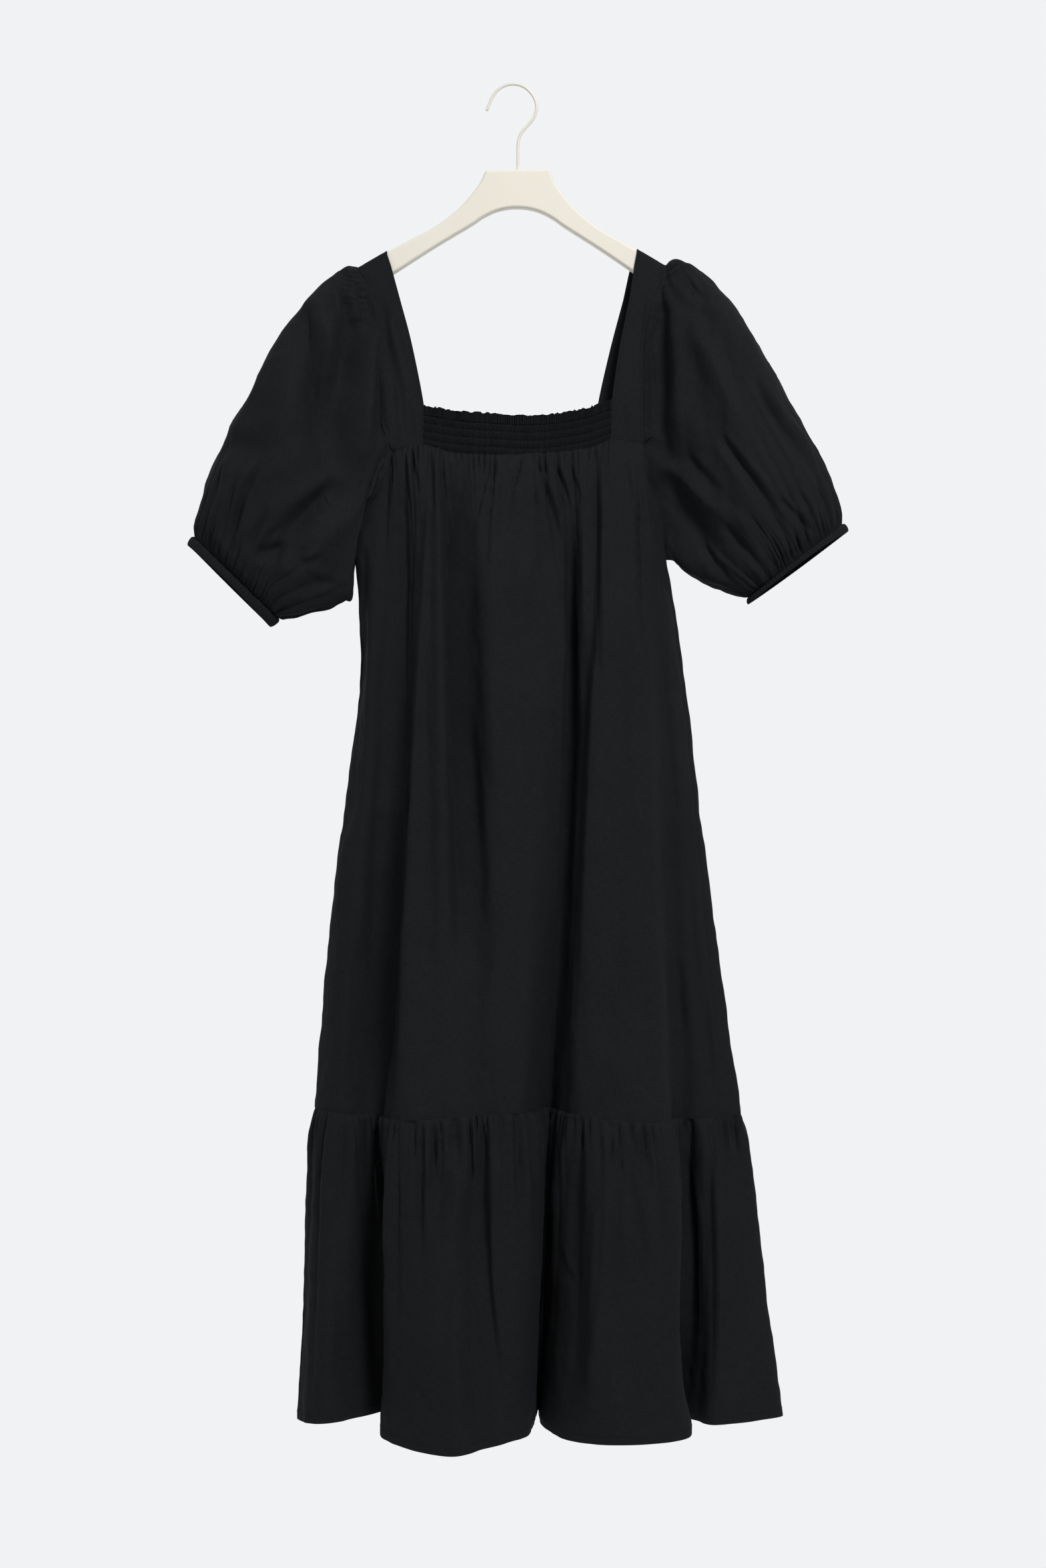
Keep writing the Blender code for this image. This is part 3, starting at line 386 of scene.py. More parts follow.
# The hanger's flat body: cream ABS, moulded, with a fine satin grain and a faintly cloudy colour
def creamPlastic():
    look, tree, shader = startMaterial("satinCreamAbs", {
        "Roughness": 0.46, "IOR": 1.5, "Specular IOR Level": 0.4})
    place = addNode(tree, "ShaderNodeTexCoord").outputs["Object"]
    cloudy = addNode(tree, "ShaderNodeTexNoise", {"Scale": 14.0, "Detail": 2.0}, {"Vector": place})
    cream = addNode(tree, "ShaderNodeMix",
                    {"data_type": "RGBA", 6: shade("#eeeadc"), 7: shade("#eae4d5")},
                    {"Factor": cloudy.outputs["Fac"]})
    tree.links.new(cream.outputs[2], shader.inputs["Base Color"])
    grainy(tree, shader, 1400.0, 2.0, 0.12)
    return look


# The hook: drawn steel wire with a thin cream coating, which pools into slow unevenness
def creamCoating():
    look, tree, shader = startMaterial("creamCoatedSteelWire", {
        "Base Color": shade("#e8e4d8"), "Roughness": 0.3, "IOR": 1.5})
    grainy(tree, shader, 240.0, 1.0, 0.15)
    return look


creamAbs = creamPlastic()
coatedWire = creamCoating()
print("materials made")

body = dict(
    waistZ=-564.0, hipZ=-789.0, tierZ=-1044.0,
    frontColumns=19, backColumns=11,      # between two folds
    skirtRows=130, flounceRows=92,
    skirtCrowding=1.3, flounceCrowding=1.15,      # how the rows crowd towards the seam above
    yokeZ=-378.0, armholeFade=14.0,       # gathers and creases end this far below the armhole
    yokeFullness=(7.0, 34.0), tierFullness=(4.0, 60.0),
    tierWave=(4.5, 0.021, 1.1), tierSlope=0.012,
    yokeGathers=((14.0, 2.0, 62.0), (6.2, 1.7, 26.0)),
    tierGathers=((19.0, 3.4, 100.0), (8.6, 2.8, 32.0)),
    hemWidth=9.0, hemStep=0.35, hemSoft=0.7,
    calmX=116.0, calmHalf=20.0, calm=0.85,        # gathers are calm under the right strap
    skirtSeed=3, flounceSeed=5,
)

# a row for each crest, flank and hollow round the body: its place at the upper edge (x, z, y),
# at waist, hip and tier seam (x, y), and at the hem (x, y, z)
folds = (
    ("left seam",         -163.2, -442.7,   0, -156.4,   2, -178.6,   6, -202.6,  10, -219.5,  10, -1361),
    ("left panel",        -136.5, -414.5, -11, -145.5, -20, -159.8, -20, -176.8, -24, -189.0, -20, -1358),
    ("left hollow",       -119.7, -372.0, -12, -127.2, -22, -133.3, -14, -139.0,  -6, -114.0,  44, -1357),
    ("left lobe flank",   -104.7, -368.6, -13, -111.5, -35, -117.0, -32, -130.6, -30, -135.0,  -8, -1371),
    ("left lobe edge",     -91.6, -366.4, -13,  -92.5, -40, -100.6, -44, -111.5, -54, -103.0, -62, -1374),
    ("left lobe",          -69.4, -373.3, -14,  -71.4, -42,  -73.4, -48,  -77.0, -60,  -60.0, -84, -1376),
    ("lobe groove",        -44.9, -376.7, -15,  -45.6, -33,  -42.2, -40,  -38.6, -58,  -32.0, -68, -1373),
    ("lobe right half",    -17.7, -377.4, -16,  -20.4, -42,  -17.0, -50,  -12.2, -60,   -8.0, -62, -1368),
    ("lobe right edge",     17.7, -376.0, -16,   20.4, -40,   18.0, -46,   12.5, -48,   15.0, -32, -1366),
    ("middle hollow",       44.9, -374.0, -15,   54.4, -12,   46.2,  -8,   35.4,  -2,   25.0,  44, -1358),
    ("right lobe flank",    62.6, -371.3, -14,   69.4, -28,   58.5, -28,   47.6, -28,   31.0,   2, -1366),
    ("right lobe edge",     81.6, -367.9, -13,   85.7, -40,   74.8, -44,   65.3, -52,   58.0, -48, -1369),
    ("right lobe",          98.6, -360.2, -13,  108.8, -43,  105.4, -50,  105.4, -62,  110.0, -74, -1367),
    ("right ridge",        115.6, -363.0, -13,  130.6, -38,  138.7, -44,  149.6, -52,  174.0, -60, -1363),
    ("right hollow",       131.9, -365.0, -12,  146.2, -24,  156.4, -18,  163.2, -12,  166.0,  18, -1358),
    ("right panel",        139.5, -411.4, -11,  158.4, -16,  173.4, -14,  187.0, -12,  186.0,  -6, -1358),
    ("right seam",         153.4, -470.0,  -7,  166.0,  -4,  189.0,  -4,  208.1,  -6,  207.0, -26, -1358),
    ("right turn",         155.6, -482.0,   4,  167.4,   4,  194.4,   8,  231.0,   8,  274.0,   8, -1357),
    ("back right turn",    139.4, -411.4,  10,  146.2,  24,  163.2,  26,  190.4,  26,  238.0,  44, -1360),
    ("back right crest",   122.4, -370.0,  12,  122.4,  24,  132.6,  34,  149.6,  44,  176.8,  60, -1362),
    ("back right hollow",  102.0, -372.0,  13,   91.8,  28,   91.8,  24,   98.6,  22,  108.8,  20, -1360),
    ("back lobe",           83.6, -374.0,  13,   61.2,  26,   54.4,  36,   47.6,  46,   51.0,  64, -1363),
    ("back lobe edge",      34.0, -378.0,  14,   20.4,  32,   13.6,  40,    6.8,  44,    3.4,  60, -1362),
    ("back hollow",         -6.8, -378.0,  14,  -13.6,  22,  -23.8,  22,  -37.4,  18,  -47.6,  14, -1360),
    ("back left lobe",     -47.6, -377.0,  14,  -47.6,  32,  -61.2,  40,  -78.2,  46,  -95.2,  64, -1363),
    ("back left edge",     -93.8, -373.0,  13,  -85.0,  24, -102.0,  28, -122.4,  36, -136.0,  58, -1362),
    ("back left hollow",  -107.0, -372.0,  12, -117.0,  30, -136.0,  22, -159.8,  20, -183.6,  24, -1360),
    ("back left turn",    -123.0, -372.0,  12, -131.0,  23, -150.0,  22, -176.0,  24, -200.6,  30, -1360),
    ("back armhole",      -138.5, -415.0,  10, -146.0,  16, -168.0,  18, -193.0,  22, -212.0,  24, -1360),
)
foldNames = [row[0] for row in folds]
strapFolds = {"left": (("left hollow", "left lobe edge"), ("back left turn", "back left edge")),
              "right": (("right hollow", "right lobe"), ("back right crest", "back lobe"))}
sideSeams = ("left seam", "right seam")


# where the body's columns of points stand, counted in folds
def bodyColumns():
    lastFront = foldNames.index(sideSeams[1])
    front = np.arange(lastFront * body["frontColumns"]) / body["frontColumns"]
    backCount = (len(folds) - lastFront) * body["backColumns"]
    return np.concatenate([front, lastFront + np.arange(backCount) / body["backColumns"]])


def columnOf(name):
    return int(np.argmin(abs(bodyColumns() - foldNames.index(name))))


# the panels' upper edge: straight under the straps, smooth between, with corners there
def panelEdge(rows, at):
    outer, inner = ([foldNames.index(pair[k]) for pairs in strapFolds.values() for pair in pairs]
                    for k in (0, 1))
    corners = sorted(outer + inner)
    edge = np.zeros((len(at), 3))
    for start, end in zip(corners, corners[1:] + [corners[0] + len(rows)]):
        numbers = np.arange(start, end + 1) % len(rows)
        place = (at - start) % len(rows)
        inside = place <= end - start
        if (start in outer) != (end % len(rows) in outer):
            edge[inside] = np.stack([np.interp(place[inside], np.arange(len(numbers)),
                                               rows[numbers, k]) for k in range(3)], axis=1)
        else:
            edge[inside] = through(rows[numbers], place[inside])
    return edge


# the tier seam dips and rises a little across the front
def tierHeight(x):
    rise, rate, shift = body["tierWave"]
    return body["tierZ"] + rise * math.sin(rate * x + shift) - body["tierSlope"] * x


# gathered cloth springs out below its seam; ways says along which axes
def springOut(sheet, fullness, share, ways):
    spring, reach = fullness
    below = sheet[0, :, 2][None, :] - sheet[:, :, 2]
    out = spring * (below / reach) * np.exp(1 - below / reach) * share[None, :]
    sheet += gridNormals(sheet, ring=True) * np.array(ways) * out[..., None]


# the skirt and flounce as grids, rows down and columns round, and how far the yoke's gathers reach
def bodyGrids():
    at = bodyColumns()
    table = np.array([row[1:] for row in folds])
    level = np.zeros(len(table))
    knots = np.stack([
        table[:, [0, 2, 1]],
        np.stack([table[:, 3], table[:, 4], level + body["waistZ"]], axis=1),
        np.stack([table[:, 5], table[:, 6], level + body["hipZ"]], axis=1),
        np.stack([table[:, 7], table[:, 8], level + body["tierZ"]], axis=1),
        table[:, [9, 10, 11]]], axis=1)
    places = through(knots, at, closed=True)
    places[:, 0] = panelEdge(table[:, [0, 2, 1]], at)
    skirtLevels = np.linspace(0, 1, body["skirtRows"]) ** body["skirtCrowding"]
    flounceLevels = np.linspace(0, 1, body["flounceRows"]) ** body["flounceCrowding"]
    skirt = np.zeros((len(skirtLevels), len(at), 3))
    flounce = np.zeros((len(flounceLevels), len(at), 3))
    for c, column in enumerate(places):
        heights = -column[:, 2]
        tier = -tierHeight(column[3, 0])
        for sheet, levels, top, bottom in ((skirt, skirtLevels, heights[0], tier),
                                           (flounce, flounceLevels, tier, heights[4])):
            down = top + levels * (bottom - top)
            sheet[:, c, 0] = steady(heights, column[:, 0], down)
            sheet[:, c, 1] = steady(heights, column[:, 1], down)
            sheet[:, c, 2] = -down
    yokeShare = np.clip(1 - (body["yokeZ"] - skirt[0, :, 2]) / body["armholeFade"], 0, 1)
    springOut(skirt, body["yokeFullness"], yokeShare, (0.0, 1.0, 0.0))
    springOut(flounce, body["tierFullness"], np.ones(len(at)), (1.0, 1.0, 1.0))
    return skirt, flounce, yokeShare


# creases in the front, as x0, z0, x1, z1, bow, width, depth
frontCreases = (
    (-112.0, -378, -125.0, -800, 0, 15.0, -11.0), (-125.0, -740, -138.0, -1046, 0, 15.0, -12.0),
    (-99.0, -410, -126.0, -1060, 0, 11.0, -11.0), (-85.0, -410, -115.0, -1060, 0, -7.0, 6.0),
    (-65.0, -385, -52.0, -905, 0, -12.0, -18.0), (-76.0, -385, -63.5, -880, 0, 7.0, 6.0),
    (49.0, -430, 31.0, -1046, 0, 9.0, 9.0), (62.0, -430, 46.0, -1046, 0, -9.0, -5.0),
    (-150.0, -470, -166.0, -1046, 0, 12.0, -4.0), (95.0, -366, 62.0, -1044, 0, -8.0, 6.0),
    (-72.7, -372, -63.6, -462, 1, 2.6, -4.0), (-22.0, -382, -37.0, -446, 0, 2.6, -3.6),
    (-17.4, -380, -26.5, -504, 2, 2.6, -3.0), (9.0, -380, -5.3, -430, 0, 2.8, -4.0),
    (22.0, -380, 49.5, -476, -3, 3.0, -4.6), (38.5, -378, 58.2, -436, -2, 2.8, -3.6),
    (53.6, -376, 69.0, -428, 0, 2.8, -3.0), (57.0, -440, 62.0, -700, 0, 5.0, -2.0),
    (83.0, -370, 87.0, -640, 0, 5.0, -6.0), (-110.0, -374, -108.0, -424, 0, 2.6, -4.5),
    (-102.5, -372, -96.0, -420, 0, 2.6, -4.0), (-84.0, -370, -80.0, -440, 0, 2.8, -3.4),
    (72.0, -440, 74.0, -600, 0, 4.0, 3.0), (125.5, -400, 129.5, -600, 0, 2.2, -2.8),
    (112.0, -385, 146.0, -500, 3, 5.0, -2.0), (-92.0, -500, -88.0, -720, 0, 5.0, -2.2),
    (-45.0, -640, -33.0, -860, -2, 8.0, -3.5), (-22.0, -600, -16.0, -740, 0, 7.0, 2.0),
    (20.0, -640, 26.0, -800, 0, 5.0, -1.8), (-150.0, -470, -158.0, -640, 0, 7.0, -2.5),
    (-138.0, -700, -143.0, -900, 0, 6.0, -3.0), (-170.0, -760, -176.0, -900, 2, 6.0, 2.0),
    (-128.0, -915, -134.0, -1000, 0, 5.0, -3.5), (100.0, -620, 104.0, -820, 0, 9.0, 2.5),
    (150.0, -560, 168.0, -760, 2, 6.0, -2.0), (178.0, -800, 190.0, -940, 0, 5.0, -2.0),
    (196.0, -930, 204.0, -1030, 0, 4.0, -2.2), (166.0, -880, 175.0, -1010, 0, 7.0, -2.0),
    (60.0, -860, 60.0, -1020, 0, 7.0, 2.0), (-60.0, -870, -64.0, -1020, 0, 9.0, 2.0),
    (130.0, -900, 140.0, -1030, 0, 6.0, -1.8),
)
backCreases = (
    (-60.0, -380, -66.0, -520, 1, 6.0, -4.5), (-20.0, -382, -18.0, -500, 0, 5.0, -4.0),
    (14.0, -382, 10.0, -560, 1, 7.0, -4.5), (52.0, -380, 60.0, -500, 0, 5.0, -4.0),
    (92.0, -376, 98.0, -470, 0, 5.0, -3.0), (-100.0, -376, -106.0, -500, 0, 6.0, -4.0),
    (30.0, -560, 26.0, -800, 2, 8.0, -3.0), (-70.0, -600, -78.0, -820, 0, 8.0, 2.5),
    (110.0, -560, 126.0, -760, 2, 7.0, -3.0), (-130.0, -620, -142.0, -820, 0, 7.0, -3.0),
    (60.0, -820, 62.0, -1000, 0, 8.0, -2.5), (-30.0, -840, -34.0, -1010, 0, 6.0, 2.0),
    (150.0, -820, 164.0, -1000, 0, 6.0, -2.5), (-160.0, -860, -168.0, -1020, 0, 6.0, -2.5),
)
flounceFrontCreases = (
    (-88.4, -1054, -91.0, -1160, 0, 3.0, -4.0), (-78.0, -1050, -82.0, -1150, 0, 3.2, -3.6),
    (-44.0, -1050, -40.0, -1110, 0, 3.0, -4.0), (-30.0, -1050, -27.0, -1096, 0, 2.8, -4.0),
    (104.0, -1046, 108.0, -1110, 0, 3.0, -4.0), (118.0, -1046, 122.0, -1104, 0, 3.0, -4.0),
    (66.0, -1044, 52.0, -1366, 0, 17.0, -14.0), (91.0, -1046, 74.0, -1320, 0, -8.0, 5.0),
    (174.0, -1046, 177.0, -1345, 0, -11.0, -14.0), (26.0, -1044, 18.0, -1350, 0, 7.0, 5.0),
    (-136.0, -1046, -140.0, -1350, 0, 12.0, -9.0), (-121.0, -1046, -131.0, -1350, 0, -6.0, 5.0),
    (-113.8, -1048, -115.4, -1275, 0, 2.8, -3.0), (-91.0, -1050, -92.7, -1190, 0, 3.8, -4.0),
    (-70.0, -1050, -74.0, -1120, 0, 3.0, -2.8), (-48.0, -1070, -106.0, -1345, -4, 13.0, 4.5),
    (-58.0, -1050, -96.0, -1230, -3, 8.0, -2.6), (-26.0, -1048, -30.0, -1225, 2, 6.5, -6.5),
    (-25.0, -1120, -11.5, -1308, 5, 3.4, -4.5), (-9.0, -1050, -22.0, -1170, 0, 6.0, 2.8),
    (8.0, -1050, 6.0, -1150, 0, 4.0, -3.0), (58.6, -1038, 39.0, -1150, 3, 4.0, 3.0),
    (86.2, -1046, 66.0, -1325, -9, 5.5, -5.0), (100.0, -1046, 96.0, -1130, 0, 3.6, -3.0),
    (112.0, -1060, 131.0, -1185, 0, 3.6, -3.2), (128.0, -1050, 138.0, -1120, 0, 3.4, -3.0),
    (108.0, -1130, 124.0, -1210, 3, 4.0, 2.4), (142.0, -1060, 152.0, -1170, 0, 4.5, -3.0),
    (198.4, -1090, 200.0, -1340, -3, 4.0, -4.0), (231.0, -1128, 224.5, -1206, 2, 5.0, -3.0),
    (250.0, -1180, 232.0, -1215, 0, 4.5, -2.6), (212.0, -1208, 238.0, -1200, 0, 4.0, -2.2),
    (-170.0, -1050, -176.0, -1220, 0, 7.0, -3.0), (-196.0, -1060, -204.0, -1200, 0, 6.0, -2.4),
    (-150.0, -1052, -146.0, -1150, 0, 5.0, -3.0), (-184.0, -1210, -188.0, -1345, 0, 9.0, 2.6),
    (-43.0, -1090, -34.0, -1390, 0, -15.0, -7.0), (-60.0, -1250, -52.0, -1372, 0, 12.0, 2.8),
    (100.0, -1240, 96.0, -1362, 0, 12.0, 3.0), (166.0, -1060, 182.0, -1170, 0, 5.0, -3.5),
    (42.0, -1180, 52.0, -1212, 3, 4.0, -2.0),
)
flounceBackCreases = (
    (-180.0, -1050, -190.0, -1200, 0, 6.0, -3.0), (-140.0, -1050, -150.0, -1260, 2, 7.0, -4.0),
    (-100.0, -1050, -112.0, -1180, 0, 5.0, -3.5), (-60.0, -1050, -66.0, -1280, 3, 8.0, -4.0),
    (-20.0, -1050, -26.0, -1190, 0, 5.0, -3.5), (20.0, -1050, 24.0, -1240, 2, 6.0, -4.0),
    (60.0, -1050, 70.0, -1190, 0, 5.0, -3.5), (100.0, -1050, 120.0, -1260, 3, 7.0, -4.0),
    (140.0, -1050, 160.0, -1180, 0, 5.0, -3.0), (180.0, -1060, 205.0, -1220, 0, 6.0, -3.0),
)


# the folds' own grids with gathers, creases, crumpling, seams and the hem's step pressed in
def dressSheet(sheet, bands, share, seed, frontTable, backTable, hem):
    normals = gridNormals(sheet, ring=True)
    columns = sheet.shape[1]
    seamRight = columnOf(sideSeams[1])
    isFront = (np.arange(columns) <= seamRight)[None, :]
    edge = sheet[0]
    along = np.concatenate([[0], np.cumsum(np.linalg.norm(np.diff(edge, axis=0), axis=1))])
    below = travelled(sheet)
    push = gathers(along[None, :], below, bands, seed) * share[None, :]
    x, z = sheet[..., 0], sheet[..., 2]
    placed = np.where(isFront, pressed(x, z, frontTable), pressed(x, z, backTable))
    push += placed * (1 - (1 - share[None, :]) * np.exp(-below / body["armholeFade"]))
    for size, upright, depth in cloth["crumple"]:
        push += depth * softWaves(sheet, size, upright, seed + int(size))
    fromSeam = np.full(columns, np.inf)
    middle = sheet[len(sheet) // 2]
    lengths = np.concatenate([[0], np.cumsum(np.linalg.norm(np.diff(middle, axis=0), axis=1))])
    total = lengths[-1] + np.linalg.norm(middle[0] - middle[-1])
    for name in sideSeams:
        gap = np.abs(lengths - lengths[columnOf(name)])
        fromSeam = np.minimum(fromSeam, np.minimum(gap, total - gap))
    push -= cloth["sideSeamDip"] * np.exp(-(fromSeam / cloth["seamWidth"]) ** 2)[None, :]
    push -= cloth["seamDip"] * np.exp(-(below / cloth["seamWidth"]) ** 2)
    rest = below[-1][None, :] - below
    if hem:
        push += body["hemStep"] / (1 + np.exp((rest - body["hemWidth"]) / body["hemSoft"]))
    else:
        push -= cloth["seamDip"] * np.exp(-(rest / cloth["seamWidth"]) ** 2)
    return sheet + normals * push[..., None]


skirtPlain, flouncePlain, yokeShare = bodyGrids()
print("body worked out", skirtPlain.shape, flouncePlain.shape)
seamLeft, seamRight = (columnOf(name) for name in sideSeams)
yokeX = skirtPlain[0, :, 0]
underStrap = np.exp(-((yokeX - body["calmX"]) / body["calmHalf"]) ** 4) * (np.arange(len(yokeX)) < seamRight)
skirt = dressSheet(skirtPlain, body["yokeGathers"], yokeShare * (1 - body["calm"] * underStrap),
                   body["skirtSeed"], frontCreases, backCreases, hem=False)
flounce = dressSheet(flouncePlain, body["tierGathers"], np.ones(len(yokeX)),
                     body["flounceSeed"], flounceFrontCreases, flounceBackCreases, hem=True)
flounce[0] = skirt[-1]                  # the tier seam is shared
skirtNormals = gridNormals(skirt, ring=True)
flounceNormals = gridNormals(flounce, ring=True)

frontNumbers = np.arange(seamLeft, seamRight + 1)
backNumbers = np.arange(seamRight, skirt.shape[1] + 1) % skirt.shape[1]
for label, node, sheet, normals, numbers, flat in (
        ("frontSkirt", "front_skirt", skirt, skirtNormals, frontNumbers, (0.50, 0.68)),
        ("backSkirt", "back_skirt", skirt, skirtNormals, backNumbers, (0.42, 0.68)),
        ("flounceFront", "flounce_front", flounce, flounceNormals, frontNumbers, (0.66, 0.33)),
        ("flounceBack", "flounce_back", flounce, flounceNormals, backNumbers, (0.52, 0.33))):
    piece = clothShell(label, sheet[:, numbers], normals[:, numbers], cloth["wall"])
    finishCloth(piece, node, blackPoplin)
print("skirt and flounce made")

# right half of the hanger's outline as x from its middle and z, smooth through each row of points
hanger = dict(
    middleX=4.4, thick=14.0, tilt=math.radians(1.1), edgeRound=4.0, edgeSteps=6, outlineFine=6, tipFine=4,
    upper=((32.5, -85.0), (38.8, -100.3), (54.0, -120.0), (69.0, -134.0), (88.0, -147.6),
           (125.8, -168.2), (161.0, -189.0), (186.0, -208.0), (200.0, -221.0)),
    tip=((207.0, -230.0), (207.5, -238.0), (200.0, -241.0)),
    lower=((186.0, -231.0), (161.0, -215.0), (126.5, -193.6), (84.8, -166.2),
           (48.3, -143.6), (36.4, -135.4), (24.0, -129.0), (12.0, -125.6), (0.0, -124.6)),
)
straps = dict(
    room=1.4, columns=16, rowsBetween=9, arcSteps=5,    # room is from the arm to the strap's middle
    creasedBelow=-190.0, waveSize=22.0, waveUpright=2.5, waveDepth=0.5, wavyBelow=-200.0, waveSeed=17,
    endRows=6, stitchDip=0.35, stitchColumn=1.5, stitchWide=0.8, edgeColumns=2, edgeFree=0.3,
    leanMid=0.6, leanBend=0.2,          # shares of lean as the strap comes to the arm and bends over it
    shoulderX={"left": (-129.2, -157.8), "right": (125.6, 152.6)},
    lean={("left", "front"): (4.6, 8.4), ("left", "back"): (4.2, 8.0),
          ("right", "front"): (-2.8, -3.2), ("right", "back"): (-6.2, -3.4)},
    takeUp=(0.6, -17.0),                # as it comes to the arm: how far out, at this height from its top
    # inner x, z, outer x, z, depth, from the seam up
    rows={
        ("left", "front"): ((-91.6, -366.4, -119.7, -372.0, 12.5), (-91.1, -346.8, -125.1, -351.0, 12.6),
                            (-91.4, -324.4, -128.0, -332.0, 12.7), (-103.4, -263.8, -133.3, -272.0, 12.5),
                            (-115.6, -217.6, -141.0, -225.0, 11.0)),
        ("left", "back"): ((-93.8, -373.0, -123.0, -372.0, 12.5), (-94.4, -346.8, -126.0, -351.0, 12.6),
                           (-96.0, -324.4, -128.6, -332.0, 12.7), (-107.0, -263.8, -134.0, -272.0, 12.5),
                           (-118.0, -217.6, -141.6, -225.0, 11.0)),
        ("right", "front"): ((98.6, -360.2, 131.9, -365.0, 12.5), (99.4, -340.0, 131.4, -345.0, 12.6),
                             (100.2, -318.0, 131.2, -322.0, 12.7), (108.0, -265.0, 131.5, -268.0, 12.5),
                             (118.0, -216.0, 138.6, -222.0, 11.0)),
        ("right", "back"): ((83.6, -374.0, 122.4, -370.0, 12.5), (84.6, -346.0, 124.0, -350.0, 12.6),
                            (86.6, -320.0, 125.8, -326.0, 12.7), (99.0, -265.0, 130.0, -270.0, 12.5),
                            (112.0, -216.0, 138.0, -222.0, 11.0)),
    },
    # x0, z0, x1, z1, bow, width, depth, seen from in front
    creases={
        "left": ((-133, -215, -112, -322, 4, 6, -2.6), (-126, -240, -104, -330, 0, 4, 1.6),
                 (-122, -300, -118, -368, 0, 3, -2.2), (-113, -318, -110, -370, 0, 2.6, -2.0),
                 (-104, -330, -102, -368, 0, 2.6, -1.4), (-98, -290, -114, -312, 0, 4, 1.6)),
        "right": ((128, -230, 124, -330, 0, 5, -1.6), (112, -320, 113, -358, 0, 3, -1.0),
                  (132, -216, 129, -270, 0, 4, -1.6), (121, -322, 123, -360, 0, 3, 1.0)),
    },
)


def hangerEdge(points, fine=2):
    return through(np.array(points), np.arange(0, len(points) - 1 + 0.5 / fine, 1 / fine))


# height of the hanger's upper edge
def armTop(x):
    edge = hangerEdge(hanger["upper"])
    flat = float(np.interp(abs(x - hanger["middleX"]), edge[:, 0], edge[:, 1]))
    return flat - (x - hanger["middleX"]) * math.sin(hanger["tilt"])


# the columns from one fold to another, in the order that they go round
def edgeOfBody(sheet, first, last):
    start, end = columnOf(first), columnOf(last)
    columns = sheet.shape[1]
    return (start + np.arange((end - start) % columns + 1)) % columns


# rows from the front seam over the arm to the back one, columns from inner to outer edge
def strapGrid(side, sheet):
    half = hanger["thick"] / 2
    reach = hanger["edgeRound"] + straps["room"]
    flat = half - hanger["edgeRound"]
    away, drop = straps["takeUp"]
    over = [(half + straps["room"] + away, drop, 1.0),
            (half + straps["room"] + away / 2, (drop - hanger["edgeRound"]) / 2, straps["leanMid"])]
    for turn in np.linspace(0, math.pi / 2, straps["arcSteps"]):
        over.append((flat + reach * math.cos(turn), reach * math.sin(turn) - hanger["edgeRound"],
                     straps["leanBend"] * (1 - turn / (math.pi / 2))))
    over.append((flat * 0.5, straps["room"], 0.0))
    halves = []
    for face, sign in (("front", -1), ("back", 1)):
        rows = [((ix, sign * y, iz), (ox, sign * y, oz)) for ix, iz, ox, oz, y in straps["rows"][side, face]]
        count = (len(rows) - 1) * straps["rowsBetween"] + 1
        rows = list(through(np.array(rows), np.linspace(0, len(rows) - 1, count)))
        bridge = []
        for y, lift, share in over:
            leaning = [x + share * lean for x, lean in
                       zip(straps["shoulderX"][side], straps["lean"][side, face])]
            bridge.append(np.array([(x, sign * y, armTop(x) + lift) for x in leaning]))
        tail = through(np.array([rows[-1], bridge[0]]), np.linspace(0, 1, 4)[1:-1])
        halves.append(rows + list(tail) + bridge)
    edges = np.array(halves[0] + halves[1][::-1])
    part = np.linspace(0, 1, straps["columns"] + 1)[None, :, None]
    grid = edges[:, :1] * (1 - part) + edges[:, 1:] * part
    for row, (outer, inner) in zip((0, -1), strapFolds[side]):
        fromLeft = (row == 0) == (side == "left")
        numbers = edgeOfBody(sheet, *((outer, inner) if fromLeft else (inner, outer)))
        seam = sheet[0, numbers]
        if fromLeft:
            seam = seam[::-1]
        grid[row] = through(seam, np.linspace(0, len(seam) - 1, straps["columns"] + 1))
    return grid


def strapNormals(side, grid):
    normals = gridNormals(grid, ring=False)
    normals[..., 0] = 0
    normals[0, :, 2] = 0
    normals[-1, :, 2] = 0
    return unit(-normals if side == "right" else normals)


strapGrids = {}
for side in ("left", "right"):
    plain = strapGrid(side, skirt)
    normals = strapNormals(side, plain)
    rows, columns = plain.shape[:2]
    x, z = plain[..., 0], plain[..., 2]
    front = (plain[..., 1] < 0) & (z < straps["creasedBelow"])
    push = np.where(front, pressed(x, z, straps["creases"][side]), 0)
    waves = softWaves(plain, straps["waveSize"], straps["waveUpright"], straps["waveSeed"])
    push += straps["waveDepth"] * waves * (z < straps["wavyBelow"])
    ends = np.minimum(np.arange(rows), np.arange(rows)[::-1])[:, None]
    push *= np.clip(ends / straps["endRows"], 0, 1)
    sides = np.minimum(np.arange(columns), np.arange(columns)[::-1])[None, :]
    fromStitches = (sides - straps["stitchColumn"]) / straps["stitchWide"]
    push -= straps["stitchDip"] * np.exp(-fromStitches ** 2)        # the stitching draws it in
    free = np.clip(sides / straps["edgeColumns"], 0, 1)             # and the edges lie calmer
    free = straps["edgeFree"] + (1 - straps["edgeFree"]) * free
    grid = plain + normals * (push * free)[..., None]
    strapGrids[side] = grid
    piece = clothShell("strap" + side.title(), grid, strapNormals(side, grid), cloth["strapWall"])
    finishCloth(piece, "strap_" + side, blackPoplin)
print("straps made")

